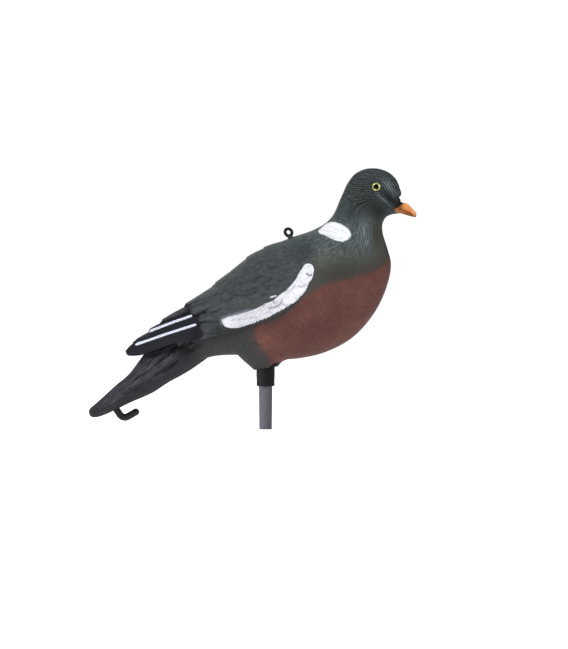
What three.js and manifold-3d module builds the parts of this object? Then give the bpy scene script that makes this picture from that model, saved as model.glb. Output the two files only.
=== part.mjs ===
// A life-size pigeon decoy: a moulded, painted hard shell on a short ground peg.
// Millimetres, +Z up. The origin is the centre of the peg's square-cut foot, and the bird faces +X.
import * as THREE from 'three';
import { mergeVertices } from 'three/addons/utils/BufferGeometryUtils.js';
import Module from 'manifold-3d';

const wasm = await Module();
wasm.setup();

// Driving sizes
const birdLength = 410; // bill tip to tail tip, in a straight line
const fitGap = 0.3; // between every two pieces that fit together

const pegFootDiameter = 13.5;
const pegTopDiameter = 14.5; // where it enters the bush
const pegShows = 46; // from its foot to the bush
const pegGrip = 28; // held inside the bush
const pegChamfer = 1.5; // round its hidden top

const bushWall = 2.25;
const bushShows = 19.3; // on its axis, below the mouth of the boss
const bushRoof = 6; // over the end of the peg
const bushChamferUp = 2.6; // up its side, at its lower rim
const bushChamferIn = 1.6; // across its lower rim

const bossLip = 2.5; // of shell round the bush, at the mouth of the boss

const eyeDiameter = 9.4;
const eyeStands = 1.9; // the dome, proud of the flat of its seat
const eyeSeatDepth = 3.2;
const eyeInset = 0.6; // of the edge of the dome, below the cheek

const ringHole = 6.3;
const ringWall = 1.95;
const ringThickness = 3.4; // across the bird
const ringFootDiameter = 7.4;
const ringFootRise = 2; // from the back up to its flat top
const ringFootAhead = 1.2; // of the ring's centre
const ringFootUnder = 0.4; // clear below the ring's hole
const ringShankDiameter = 4;
const ringShankLength = 9;

const hookDiameter = 7.6;
const hookSunk = 7; // of its shank, inside the tail
const hookFootUp = 1; // from the tail's underside, inside it
const hookDrop = 7.6; // straight below the tail, before the bend
const hookBendRadius = 6.6; // of its centre line
const hookTip = 9.6; // straight past the bend, before its round end

// Sizes that follow
const bushBore = pegTopDiameter + 2 * fitGap;
const bushDiameter = bushBore + 2 * bushWall;
const mouthHeight = pegShows + bushShows;
const boreTop = pegShows + pegGrip + fitGap;
const bushTop = boreTop + bushRoof;
const mouthRadius = bushDiameter / 2 + fitGap + bossLip;

// The bird is a free form, drawn in side view at the length below and kept as shares of its length.
// A drawn point is (x, z): x forward and z up from the ground, with the peg's axis and the mouth of the
// boss where these values say. Every drawn point goes through place().
const drawnLength = 410;
const drawnAxisX = 0.2;
const drawnMouthZ = 65.3;
const share = birdLength / drawnLength;

function place(x, y, z) {
  return new THREE.Vector3((x - drawnAxisX) * share, y * share, mouthHeight + (z - drawnMouthZ) * share);
}

// The shell's sections, from tail to face. Each row is one rung of the side view: its top (x, z),
// its bottom (x, z) and the half-width there.
const torsoRungs = [
  [-101, 104, -82, 66, 13],
  [-75, 130, -62, 76.4, 27],
  [-50, 154, -44, 79.3, 39],
  [-25, 176, -20, 79, 48],
  [0, 193, 5, 75.3, 55],
  [26, 204.6, 35, 75.8, 58.5],
  [46, 211.2, 66, 83.2, 58.5],
  [57, 216.2, 94, 98.8, 55.5],
  [64.4, 220.7, 117.5, 126, 49],
  [69.5, 225.6, 130.6, 155, 41.5],
  [73.1, 230.4, 134.3, 177, 34.5],
  [76.2, 236.8, 130.4, 194, 28],
  [79.2, 244.5, 125.7, 209, 23.3],
  [83, 252.8, 125.2, 219, 20.8],
  [88.2, 263.8, 128.6, 226.4, 19.8],
  [96.3, 273.6, 133, 229.1, 19.5],
  [108, 278.8, 137, 230.2, 19.2],
  [121.5, 278.7, 139.6, 230.5, 18.2],
  [132.5, 274.4, 141, 230.5, 16],
  [140.2, 267, 141.8, 230.6, 12.6],
  [144.3, 258.6, 142.5, 230.8, 9.6],
  [145.5, 252, 142.8, 231.2, 7.4],
  [142.9, 248, 142.6, 232, 6.4],
];

// The folded wings cover this form, from their tips to the shoulder.
const wingRungs = [
  [-149.6, 83, -148.4, 72, 5],
  [-146, 89.6, -142.5, 66, 8.5],
  [-138.5, 95.8, -133, 61, 13],
  [-121, 108.6, -116, 58, 20],
  [-103.4, 121, -98, 59, 26.5],
  [-85.1, 133.2, -80, 62, 33],
  [-66.4, 146.2, -60, 70, 38.5],
  [-41.7, 165.6, -36, 76, 45],
  [-18.6, 184.8, -14, 77.5, 50.5],
  [0, 195.4, 5, 75.3, 55.5],
  [26, 205.4, 35, 75.8, 58.5],
  [46, 210.5, 66, 83.2, 58],
  [57, 215, 94, 98.8, 54],
];

// The wings' lower edge in side view, from the shoulder to the tips
const wingEdge = [
  [53.2, 176], [51.6, 164], [43.4, 149], [32.8, 135.6], [14.6, 123.6], [-7.4, 114.6],
  [-26, 108.2], [-40, 104.4], [-56, 99.6], [-70.7, 96.4], [-91.4, 93.4], [-110, 87.4],
  [-131, 79.6], [-149.4, 78.2],
];
const edgeStep = 3.4; // how far the wings stand proud of the flank at that edge
const edgeSunk = 1.6; // how deep the edge starts in the flank
const shoulderDive = 2.5; // how deep the wings end in the shoulder
const wingSections = 28; // sections along the wings

// The lower edges of the long feathers that lap over each other on the wing, top to bottom, each from
// the shoulder to its tip on the line of the back
const featherEdges = [
  [[52.5, 201], [25, 195.5], [5, 185], [-15, 172], [-35, 161.5], [-54, 153.6]],
  [[53.2, 195], [30, 188], [12, 178], [-5, 165.5], [-25, 154.5], [-45, 147.5], [-66, 140.5], [-86, 131.6]],
  [[53.6, 189], [38, 182], [22, 172.5], [6, 160], [-13, 149], [-34, 141], [-50, 136.5], [-66, 131.5],
    [-82, 125.5], [-110.6, 114]],
  [[53.6, 184], [40, 177], [27, 166], [12, 153], [-8, 141.5], [-30, 133], [-52, 126.6], [-66, 123.6],
    [-79.2, 120.6], [-123.6, 105.2]],
  [[53.4, 180], [41.4, 174], [34.7, 163.7], [30, 157.5], [19.8, 146.5], [12.7, 143], [-0.5, 134],
    [-22.6, 125.4], [-43.8, 118], [-74.9, 111.2], [-138.2, 92]],
];
const featherStep = 1.4; // of each of those edges, over the feather below

// The cleft between the folded wings: where it starts and ends along the back, and its depth and
// half-width at its end
const cleft = { from: -12, to: -152, deep: 11, wide: 6.5 };

// The tail: top ridge (x, z), side edge (x, z), half-width, and keel (x, z)
const tailRows = [
  [-58, 112, -62, 92, 15, -58, 80],
  [-82, 108, -82, 79.4, 20.5, -81.5, 63.6],
  [-104, 96, -103, 64.6, 23.5, -104.1, 50.7],
  [-122, 90, -121, 52.6, 25.5, -119, 41],
  [-134, 74.4, -134, 44.4, 27, -132, 34.3],
  [-146.2, 58.4, -145, 37.8, 28.2, -145.4, 28.2],
  [-160.3, 46.5, -158, 30.8, 29.2, -159.5, 21.3],
  [-173.9, 33.7, -167, 25.6, 29, -171, 16],
  [-182.8, 25.6, -172.4, 23.2, 27.6, -179, 13.3],
  [-187.9, 21.2, -176, 21.4, 25.4, -185, 13],
  [-189.2, 18.4, -177.6, 20.6, 24, -187.8, 14.6],
];
const tailFeathers = 6; // on each side
const tailRidge = 1.5; // height of each feather's outer edge
const tailEdge = 1.6; // thickness of the side edge

// The bill, base to tip: top (x, z), bottom (x, z), half-width
const billRungs = [
  [136, 248, 136, 232.5, 4.6],
  [142.8, 247.3, 142.6, 230.9, 5],
  [147.8, 242.2, 146.6, 230.5, 4.9],
  [150.9, 241.4, 149.6, 229.7, 4.5],
  [156.6, 234.9, 155, 228.1, 3.3],
  [160.4, 231, 158.9, 227.4, 2.1],
  [161.7, 229.4, 160.8, 227.5, 1.1],
];

// The boss that holds the bush: front (x, z) and rear (x, z) at each level, and how far its radius
// has grown from the mouth's
const bossRungs = [
  [13.2, 67.3, -12, 63.4, 0],
  [15, 69.3, -14.5, 65.6, 1.8],
  [18.4, 72.6, -20.4, 70.8, 6.4],
  [27, 76.4, -27.6, 77.4, 13],
  [42, 90, -40, 92, 24],
];

const eyeAlong = 118; // drawn x of the eyes
const eyeUnderCrown = 20.1; // straight down from the crown
const ringAlong = 24.7; // drawn x of the ring's centre
const hookAlong = -160; // drawn x of the place where the hook leaves the tail
const hookShankTurn = -56; // degrees from +X, of the way the shank leaves the tail
const hookTipTurn = 30; // degrees from +X, of the way the tip points

// Curves and lofts

const rad = THREE.MathUtils.degToRad;
const mix = THREE.MathUtils.lerp;
const ease = THREE.MathUtils.smoothstep;

// A smooth curve through rows of numbers: row i is at t = i. The tangents are weighted by the
// distances between the rows, so that close rows turn sharply without overshooting.
function smoothThrough(rows) {
  const steps = [];
  for (let i = 0; i + 1 < rows.length; i += 1) {
    const apart = Math.hypot(...rows[i].slice(0, 4).map((v, k) => rows[i + 1][k] - v));
    steps.push(Math.sqrt(apart));
  }
  const slopes = rows.map((row, i) => row.map((v, k) => {
    const before = i > 0 ? (v - rows[i - 1][k]) / steps[i - 1] : null;
    const after = i + 1 < rows.length ? (rows[i + 1][k] - v) / steps[i] : null;
    if (before === null) return after;
    if (after === null) return before;
    return (before * steps[i] + after * steps[i - 1]) / (steps[i - 1] + steps[i]);
  }));
  return (t) => {
    const i = Math.min(Math.max(Math.floor(t), 0), rows.length - 2);
    const u = t - i;
    const h = steps[i];
    return rows[i].map((v, k) => (
      v * (1 + 2 * u) * (1 - u) ** 2
      + rows[i + 1][k] * u * u * (3 - 2 * u)
      + h * slopes[i][k] * u * (1 - u) ** 2
      - h * slopes[i + 1][k] * u * u * (1 - u)));
  };
}

// A point of the section on a rung: a is 0 at its top, 180 degrees at its bottom, and out is how far
// the point stands off the section, at right angles to it.
function onSection(rung, a, out = 0) {
  const [topX, topZ, lowX, lowZ, half] = rung;
  const long = Math.hypot(topX - lowX, topZ - lowZ) / 2;
  const upX = (topX - lowX) / 2 / long;
  const upZ = (topZ - lowZ) / 2 / long;
  const slantUp = half * Math.cos(a);
  const slantOut = long * Math.sin(a);
  const slant = Math.hypot(slantUp, slantOut) || 1;
  const up = long * Math.cos(a) + out * slantUp / slant;
  const across = half * Math.sin(a) + out * slantOut / slant;
  return [(topX + lowX) / 2 + upX * up, across, (topZ + lowZ) / 2 + upZ * up];
}

// A closed solid through rings of points, each ring with as many points as the next. Each end is
// closed round its middle, or, where zipFrom is given, by joining the points on one side of that
// index to those on its other side.
function loft(rings, zipFrom = null) {
  const count = rings[0].length;
  const points = rings.flat();
  const faces = [];
  for (let i = 0; i + 1 < rings.length; i += 1) {
    for (let k = 0; k < count; k += 1) {
      const a = i * count + k;
      const b = i * count + (k + 1) % count;
      faces.push([a, b, b + count], [a, b + count, a + count]);
    }
  }
  for (const [start, flip] of [[0, false], [(rings.length - 1) * count, true]]) {
    if (zipFrom !== null) {
      const at = (k) => start + (k + count) % count;
      for (let k = 0; k < count / 2 - 1; k += 1) {
        const [a, b] = [at(zipFrom - k), at(zipFrom - k - 1)];
        const [c, d] = [at(zipFrom + 1 + k), at(zipFrom + 2 + k)];
        faces.push(flip ? [a, d, b] : [a, b, d], flip ? [a, c, d] : [a, d, c]);
      }
      continue;
    }
    const middle = new THREE.Vector3();
    for (let k = 0; k < count; k += 1) middle.addScaledVector(points[start + k], 1 / count);
    points.push(middle);
    const hub = points.length - 1;
    for (let k = 0; k < count; k += 1) {
      const a = start + k;
      const b = start + (k + 1) % count;
      faces.push(flip ? [hub, a, b] : [hub, b, a]);
    }
  }
  return solidOf(points, faces);
}

// A closed mesh as a solid, turned right side out
function solidOf(points, faces) {
  let volume = 0;
  const normal = new THREE.Vector3();
  for (const [a, b, c] of faces) {
    volume += normal.crossVectors(points[b], points[c]).dot(points[a]);
  }
  const geometry = new THREE.BufferGeometry().setFromPoints(points);
  geometry.setIndex(faces.flatMap((face) => (volume > 0 ? face : [face[0], face[2], face[1]])));
  return toSolid(geometry);
}

function toSolid(geometry) {
  const bare = geometry.clone();
  bare.deleteAttribute('normal');
  bare.deleteAttribute('uv');
  const merged = mergeVertices(bare, 1e-4);
  return new wasm.Manifold(new wasm.Mesh({
    numProp: 3,
    vertProperties: new Float32Array(merged.attributes.position.array),
    triVerts: new Uint32Array(merged.index.array),
  }));
}

function toGeometry(solid) {
  const mesh = solid.getMesh();
  const geometry = new THREE.BufferGeometry();
  geometry.setAttribute('position', new THREE.BufferAttribute(new Float32Array(mesh.vertProperties), 3));
  geometry.setIndex(new THREE.BufferAttribute(new Uint32Array(mesh.triVerts), 1));
  geometry.computeVertexNormals();
  return geometry;
}

// The height of a drawn line of points at x
function heightAt(line, x) {
  const order = line[0][0] < line[line.length - 1][0] ? line : [...line].reverse();
  let i = 0;
  while (i + 2 < order.length && order[i + 1][0] < x) i += 1;
  const [x0, z0] = order[i];
  const [x1, z1] = order[i + 1];
  return mix(z0, z1, (x - x0) / (x1 - x0));
}

// Where a drawn point lies on a run of rungs: t along it, and the section angle a
function findOn(curve, last, x, z) {
  const side = (t) => {
    const [topX, topZ, lowX, lowZ] = curve(t);
    return (topX - lowX) * (z - lowZ) - (topZ - lowZ) * (x - lowX);
  };
  let low = 0;
  let high = last;
  const rising = side(high) > side(low);
  for (let i = 0; i < 40; i += 1) {
    const t = (low + high) / 2;
    if ((side(t) > 0) === rising) high = t;
    else low = t;
  }
  const t = (low + high) / 2;
  const [topX, topZ, lowX, lowZ] = curve(t);
  const long = Math.hypot(topX - lowX, topZ - lowZ);
  const down = ((topX - x) * (topX - lowX) + (topZ - z) * (topZ - lowZ)) / long / long;
  return { t, a: Math.acos(THREE.MathUtils.clamp(1 - 2 * down, -1, 1)) };
}

// The shell, piece by piece

const torsoCurve = smoothThrough(torsoRungs);
const torsoLast = torsoRungs.length - 1;
const wingCurve = smoothThrough(wingRungs);
const wingLast = wingRungs.length - 1;

function sectionRing(rung, sides) {
  const ring = [];
  for (let k = 0; k < sides; k += 1) ring.push(place(...onSection(rung, 2 * Math.PI * k / sides)));
  return ring;
}

function makeTorso() {
  const sides = 28;
  const rings = [];
  for (let i = 0; i < torsoLast; i += 1) {
    const parts = i > 8 && i < 13 ? 1 : 2;
    for (let k = 0; k < parts; k += 1) rings.push(sectionRing(torsoCurve(i + k / parts), sides));
  }
  rings.push(sectionRing(torsoCurve(torsoLast), sides));
  return loft(rings);
}

function makeBill() {
  const curve = smoothThrough(billRungs);
  const rings = [];
  for (let i = 0; i < billRungs.length - 1; i += 0.5) rings.push(sectionRing(curve(i), 16));
  rings.push(sectionRing(curve(billRungs.length - 1), 16));
  return loft(rings);
}

// The section angle at which a drawn line crosses a rung of the wings, or null
function crossing(line, rung) {
  const [topX, topZ, lowX, lowZ] = rung;
  const side = ([x, z]) => (topX - lowX) * (z - lowZ) - (topZ - lowZ) * (x - lowX);
  for (let i = 0; i + 1 < line.length; i += 1) {
    const before = side(line[i]);
    const after = side(line[i + 1]);
    if (before * after <= 0 && before !== after) {
      const z = mix(line[i][1], line[i + 1][1], before / (before - after));
      const down = (topZ - z) / (topZ - lowZ);
      return down > 0 ? Math.acos(1 - 2 * Math.min(down, 0.98)) : null;
    }
  }
  return null;
}

// Both folded wings as one cloak over the back: proud of the flank at their lower edge, flush with the
// back above, sunk into the shoulder in front, and stepped where one long feather laps over the next
function makeWings() {
  const shoulder = findOn(wingCurve, wingLast, ...wingEdge[0]).t;
  const diveFrom = wingLast - 3.4; // where the wings start to sink into the shoulder
  const diveTo = shoulder - 0.15;
  const rings = [];
  for (let i = 0; i <= wingSections; i += 1) {
    const t = mix(0, shoulder, i / wingSections);
    const rung = wingCurve(t);
    const atShoulder = ease(t, diveFrom, diveTo);
    const edge = crossing(wingEdge, rung);
    const stops = wingStops(rung, edge);
    const right = stops.map(([a, step]) => {
      const low = ease(a / edge, 0.2, 0.75);
      const proud = mix(mix(0, -shoulderDive, atShoulder), mix(edgeStep, 0.4, atShoulder ** 2), low);
      return [a, proud + step * (1 - atShoulder)];
    });
    right.push([edge, -edgeSunk]);
    const ring = [place(...onSection(rung, 0, right[0][1]))];
    for (const [a, out] of right) ring.push(place(...onSection(rung, a, out)));
    for (const [a, out] of [...right].reverse()) ring.push(place(...onSection(rung, -a, out)));
    rings.push(ring);
  }
  return loft(rings);
}

// The section angles at which a wing's surface has points, each with its height over the feather
// below: two at each feather's edge, one on the feather and one beside it, and one between
function wingStops(rung, edge) {
  const least = 0.025;
  const stops = [];
  let from = 0;
  let startStep = null;
  for (const line of [...featherEdges, null]) {
    const found = line ? crossing(line, rung) : edge;
    const gone = found === null || found < from + 4 * least;
    const to = gone ? from + 3 * least : found;
    if (gone) {
      stops.push([from + least, null], [from + 2 * least, null], [to, null]);
    } else {
      if (startStep === null) startStep = featherStep * Math.max(0, 1 - found / 0.6);
      const begin = stops.some(([, step]) => step !== null) ? 0 : startStep;
      stops.push([mix(from, to, 0.5), mix(begin, featherStep, 0.5)], [to, featherStep]);
      if (line) stops.push([to + least, 0]);
    }
    from = to;
  }
  return stops.map(([a, step]) => [a, step === null ? startStep : step]);
}

// The cleft between the two wings, deeper and wider towards their tips
function makeCleft() {
  const rings = [];
  const steps = 14; // sections along the cleft
  const lip = 2; // above the back, where its sides turn upright
  for (let i = 0; i <= steps; i += 1) {
    const x = mix(cleft.from, cleft.to, i / steps);
    const back = heightAt(backLine, Math.max(x, wingRungs[0][0]));
    const deep = mix(0.2, cleft.deep, (i / steps) ** 1.2);
    const wide = mix(1.2, cleft.wide, i / steps);
    const clear = cleft.deep;
    rings.push([
      place(x, 0, back - deep), place(x, wide * 0.5, back - deep * 0.62), place(x, wide, back + lip),
      place(x, wide, back + clear), place(x, -wide, back + clear), place(x, -wide, back + lip),
      place(x, -wide * 0.5, back - deep * 0.62),
    ]);
  }
  return loft(rings);
}

// The tail: a shallow roof above, a keel below, each feather lapping over the one outside it
function makeTail() {
  const curve = smoothThrough(tailRows);
  const rings = [];
  const steps = 18; // sections along the tail
  for (let i = 0; i <= steps; i += 1) {
    const t = (tailRows.length - 1) * i / steps;
    const [topX, topZ, edgeX, edgeZ, half, keelX, keelZ] = curve(t);
    const fade = ease(t, 0.5, 2.5);
    const upper = [];
    const lower = [];
    for (let k = 0; k < tailFeathers; k += 1) {
      for (const [part, lift] of [[0.04, 0], [0.96, 1]]) {
        const s = (k + part) / tailFeathers;
        const bend = s ** 1.5;
        const ridge = tailRidge * lift * fade;
        upper.push([mix(topX, edgeX, bend), half * s, mix(topZ, edgeZ, bend) + ridge]);
        const under = s ** 1.7;
        const underZ = mix(keelZ, edgeZ - tailEdge, under) - 0.5 * ridge;
        lower.push([mix(keelX, edgeX, under), half * s, underZ]);
      }
    }
    const right = [...upper.slice(1), ...lower.slice(1).reverse()];
    const ring = [
      [topX, 0, topZ], ...right, [keelX, 0, keelZ],
      ...[...right].reverse().map(([x, y, z]) => [x, -y, z]),
    ];
    rings.push(ring.map(([x, y, z]) => place(x, y, z)));
  }
  return loft(rings, 2 * tailFeathers - 1);
}

function makeBoss() {
  const curve = smoothThrough(bossRungs);
  const rings = [];
  const sides = 28;
  for (let i = 0; i <= (bossRungs.length - 1) * 2; i += 1) {
    const [frontX, frontZ, rearX, rearZ, grown] = curve(i / 2);
    const front = place(frontX, 0, frontZ);
    const rear = place(rearX, 0, rearZ);
    const centre = front.clone().add(rear).multiplyScalar(0.5);
    const along = front.clone().sub(rear).normalize();
    const radius = mouthRadius + grown * share;
    const reach = Math.max(front.distanceTo(rear) / 2, radius);
    const ring = [];
    for (let k = 0; k < sides; k += 1) {
      const a = 2 * Math.PI * k / sides;
      const point = centre.clone().addScaledVector(along, reach * Math.cos(a));
      point.y += radius * Math.sin(a);
      ring.push(point);
    }
    rings.push(ring);
  }
  return loft(rings);
}

// Pieces that fit in the shell

const roundSides = 28; // of the peg, the bush and its seat

function turned(profile, sides) {
  const geometry = new THREE.LatheGeometry(profile.map(([r, h]) => new THREE.Vector2(r, h)), sides);
  return toSolid(geometry.rotateX(Math.PI / 2));
}

function rod(diameter, from, to, sides = 24) {
  const geometry = new THREE.CylinderGeometry(diameter / 2, diameter / 2, from.distanceTo(to), sides);
  const way = to.clone().sub(from).normalize();
  geometry.applyQuaternion(new THREE.Quaternion().setFromUnitVectors(new THREE.Vector3(0, 1, 0), way));
  const middle = from.clone().add(to).multiplyScalar(0.5);
  return toSolid(geometry.translate(middle.x, middle.y, middle.z));
}

function makePeg() {
  const foot = pegFootDiameter / 2;
  const top = pegTopDiameter / 2;
  const end = pegShows + pegGrip;
  return turned([
    [0, 0], [foot, 0], [top, pegShows], [top, end - pegChamfer], [top - pegChamfer, end], [0, end],
  ], roundSides);
}

function makeBush() {
  const outer = bushDiameter / 2;
  const bore = bushBore / 2;
  return turned([
    [bore, pegShows], [outer - bushChamferIn, pegShows], [outer, pegShows + bushChamferUp],
    [outer, bushTop], [0, bushTop], [0, boreTop], [bore, boreTop], [bore, pegShows],
  ], roundSides);
}

// The eye is a domed disc. This makes one looking along +Y, with the flat of its seat at y = 0.
function makeEye() {
  const radius = eyeDiameter / 2;
  const profile = [[0, -eyeSeatDepth], [radius, -eyeSeatDepth], [radius, 0]];
  for (const a of [25, 50, 72]) {
    profile.push([radius * Math.cos(rad(a)), eyeStands * Math.sin(rad(a))]);
  }
  profile.push([0, eyeStands]);
  return new THREE.LatheGeometry(profile.map(([r, h]) => new THREE.Vector2(r, h)), 20);
}

const crownLine = torsoRungs.map(([x, z]) => [x, z]);
const eyeHeight = heightAt(crownLine, eyeAlong) - eyeUnderCrown;
const eyeFound = findOn(torsoCurve, torsoLast, eyeAlong, eyeHeight);
const eyeHalf = onSection(torsoCurve(eyeFound.t), eyeFound.a)[1];
const eyePlace = place(eyeAlong, eyeHalf, eyeHeight).add(new THREE.Vector3(0, -eyeInset, 0));

const backLine = wingRungs.map(([x, z]) => [x, z]);
const ringFootX = ringAlong + ringFootAhead / share;
const ringFootAt = place(ringFootX, 0, heightAt(backLine, ringFootX));
const ringFootTop = above(ringFootAt, ringFootRise);
const ringCentre = above(ringFootTop, ringFootUnder + ringHole / 2);
ringCentre.x -= ringFootAhead;

function makeRing() {
  const hoop = new THREE.TorusGeometry((ringHole + ringWall) / 2, ringWall / 2, 8, 20);
  hoop.rotateX(Math.PI / 2).scale(1, ringThickness / ringWall, 1);
  hoop.translate(ringCentre.x, 0, ringCentre.z);
  const foot = rod(ringFootDiameter, above(ringFootAt, fitGap), ringFootTop);
  const shank = rod(ringShankDiameter, above(ringFootAt, -ringShankLength), ringFootTop);
  const eyeHole = rod(
    ringHole, ringCentre.clone().setY(-ringThickness), ringCentre.clone().setY(ringThickness));
  return toSolid(hoop).add(foot).add(shank).subtract(eyeHole);
}

function above(point, height) {
  return point.clone().setZ(point.z + height);
}

const hookWay = new THREE.Vector3(Math.cos(rad(hookShankTurn)), 0, Math.sin(rad(hookShankTurn)));
const keelLine = tailRows.map((row) => [row[5], row[6]]);
const hookStart = place(hookAlong, 0, heightAt(keelLine, hookAlong) + hookFootUp);

// The hook's centre line: a straight shank, a round bend and a straight tip
function hookPath() {
  const path = new THREE.CurvePath();
  const sunk = hookStart.clone().addScaledVector(hookWay, -hookSunk);
  const bendStart = hookStart.clone().addScaledVector(hookWay, hookDrop);
  path.add(new THREE.LineCurve3(sunk, bendStart));
  const middle = bendStart.clone().add(
    new THREE.Vector3(-hookWay.z, 0, hookWay.x).multiplyScalar(hookBendRadius));
  const arc = [];
  for (let k = 0; k <= 6; k += 1) {
    const turn = rad(mix(hookShankTurn, hookTipTurn, k / 6) - 90);
    arc.push(new THREE.Vector3(
      middle.x + hookBendRadius * Math.cos(turn), 0, middle.z + hookBendRadius * Math.sin(turn)));
  }
  path.add(new THREE.CatmullRomCurve3(arc));
  const tipWay = new THREE.Vector3(Math.cos(rad(hookTipTurn)), 0, Math.sin(rad(hookTipTurn)));
  const tip = arc[6].clone().addScaledVector(tipWay, hookTip);
  path.add(new THREE.LineCurve3(arc[6], tip));
  return { path, tip };
}

function makeHook() {
  const { path, tip } = hookPath();
  const section = new THREE.Shape().absarc(0, 0, hookDiameter / 2, 0, 2 * Math.PI);
  const swept = new THREE.ExtrudeGeometry(section, { extrudePath: path, steps: 16, curveSegments: 6 });
  const end = new THREE.SphereGeometry(hookDiameter / 2, 12, 8).translate(tip.x, 0, tip.z);
  return toSolid(swept).add(toSolid(end));
}

// The shell takes each of those pieces in a blind seat, a fit gap larger all round. A seat's cutter
// starts outside the shell.
function makeSeats() {
  const clear = 8;
  const axis = (z) => new THREE.Vector3(0, 0, z);
  const along = (steps) => hookStart.clone().addScaledVector(hookWay, steps);
  const seats = [
    rod(bushDiameter + 2 * fitGap, axis(pegShows), axis(bushTop + fitGap), roundSides),
    rod(ringShankDiameter + 2 * fitGap, above(ringFootAt, -ringShankLength - fitGap),
      above(ringFootAt, clear)),
    rod(ringFootDiameter + 2 * fitGap, ringFootAt, above(ringFootAt, clear)),
    rod(hookDiameter + 2 * fitGap, along(-hookSunk - fitGap), along(clear)),
  ];
  for (const side of [-1, 1]) {
    const at = (y) => new THREE.Vector3(eyePlace.x, side * y, eyePlace.z);
    seats.push(rod(
      eyeDiameter + 2 * fitGap, at(eyePlace.y - eyeSeatDepth - fitGap), at(eyePlace.y + clear)));
  }
  return seats;
}

function makeBody() {
  const back = makeTorso().add(makeTail()).add(makeWings()).subtract(makeCleft());
  let body = back.add(makeBoss()).add(makeBill());
  for (const seat of makeSeats()) body = body.subtract(seat);
  return body;
}

// The scene graph

const finishes = {
  paint: { color: 0x3a413f, roughness: 0.55, metalness: 0 },
  eye: { color: 0xe0b030, roughness: 0.15, metalness: 0 },
  black: { color: 0x161617, roughness: 0.45, metalness: 0 },
  grey: { color: 0x6e6e76, roughness: 0.6, metalness: 0 },
};

function addPiece(group, name, geometry, finish) {
  const mesh = new THREE.Mesh(geometry, new THREE.MeshStandardMaterial(finishes[finish]));
  mesh.name = name;
  group.add(mesh);
  return mesh;
}

const decoy = new THREE.Group();
addPiece(decoy, 'body', toGeometry(makeBody()), 'paint');
addPiece(decoy, 'hanging_ring', toGeometry(makeRing()), 'black');
addPiece(decoy, 'tail_hook', toGeometry(makeHook()), 'black');
addPiece(decoy, 'peg_socket', toGeometry(makeBush()), 'black');
addPiece(decoy, 'peg', toGeometry(makePeg()), 'grey');
for (const [name, side] of [['eye_right', -1], ['eye_left', 1]]) {
  const eye = addPiece(decoy, name, makeEye(), 'eye');
  eye.position.copy(eyePlace).setY(side * eyePlace.y);
  if (side < 0) eye.rotation.x = Math.PI;
}

export default decoy;
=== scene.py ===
# A life-size pigeon decoy: a moulded, painted hard shell on a short ground peg.
# The bird is drawn in side view in millimetres, as (x, z) with z up from the ground, and each drawn form
# is lofted, carved with its feathers, joined into one shell and then painted.
import math

import bmesh
import bpy
import numpy as np
from mathutils import Matrix, Vector


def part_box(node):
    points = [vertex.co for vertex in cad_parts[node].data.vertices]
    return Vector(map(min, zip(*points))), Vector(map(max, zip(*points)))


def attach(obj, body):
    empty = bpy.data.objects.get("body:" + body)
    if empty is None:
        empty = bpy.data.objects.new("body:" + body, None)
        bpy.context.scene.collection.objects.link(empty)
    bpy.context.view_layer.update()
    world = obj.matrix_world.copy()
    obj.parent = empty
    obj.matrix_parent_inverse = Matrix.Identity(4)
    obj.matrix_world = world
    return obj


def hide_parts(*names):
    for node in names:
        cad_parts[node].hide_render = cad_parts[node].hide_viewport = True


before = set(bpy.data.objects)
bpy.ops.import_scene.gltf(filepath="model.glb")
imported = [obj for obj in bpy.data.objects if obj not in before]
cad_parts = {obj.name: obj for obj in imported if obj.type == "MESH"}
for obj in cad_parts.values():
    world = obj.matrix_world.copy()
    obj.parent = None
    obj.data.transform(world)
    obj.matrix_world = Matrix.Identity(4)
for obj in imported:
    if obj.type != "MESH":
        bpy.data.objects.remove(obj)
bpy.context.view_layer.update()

MM = 0.001

# Sizes of the fitted pieces, in millimetres
FIT_GAP = 0.3
PEG_FOOT_RADIUS = 6.75
PEG_TOP_RADIUS = 7.25
PEG_SHOWS = 46.0
PEG_TOP = 74.0
BUSH_RADIUS = 9.8
BUSH_BORE_RADIUS = 7.55
BUSH_TOP = 80.3
BORE_TOP = 74.3
MOUTH_RADIUS = 12.6
EYE_RADIUS = 4.7
EYE_STANDS = 1.9
EYE_SEAT_DEPTH = 3.2
EYE_INSET = 0.6
RING_HOLE_RADIUS = 3.0
RING_WALL = 1.8
RING_HALF_THICK = 1.7
RING_FOOT_RADIUS = 3.7
RING_FOOT_AHEAD = 1.2
RING_FOOT_UNDER = 0.4
RING_FOOT_RISE = 2.0
RING_TURN = math.radians(19)
RING_TILT = math.radians(17)
RING_SHANK_RADIUS = 2.0
RING_SHANK_LENGTH = 9.0
HOOK_RADIUS = 3.8
HOOK_SUNK = 7.0
HOOK_DROP = 7.6
HOOK_BEND_RADIUS = 6.6
HOOK_TIP = 9.6
HOOK_SHANK_TURN = math.radians(-56)
HOOK_TIP_TURN = math.radians(30)

# Where the drawing has the peg's axis, and where the small pieces sit on the bird
AXIS_X = 0.2
EYE_ALONG = 118.0
EYE_UNDER_CROWN = 20.1
RING_ALONG = 24.7
HOOK_ALONG = -160.0
HOOK_FOOT_UP = 1.0

# The side view that the bird is drawn in: the middle of the view, how high it reaches at the bird's
# middle and how far off the eye is
VIEW_X = 19.9
VIEW_Z = 112.1
VIEW_HEIGHT = 694.4
VIEW_FROM = 3472.0

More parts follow.
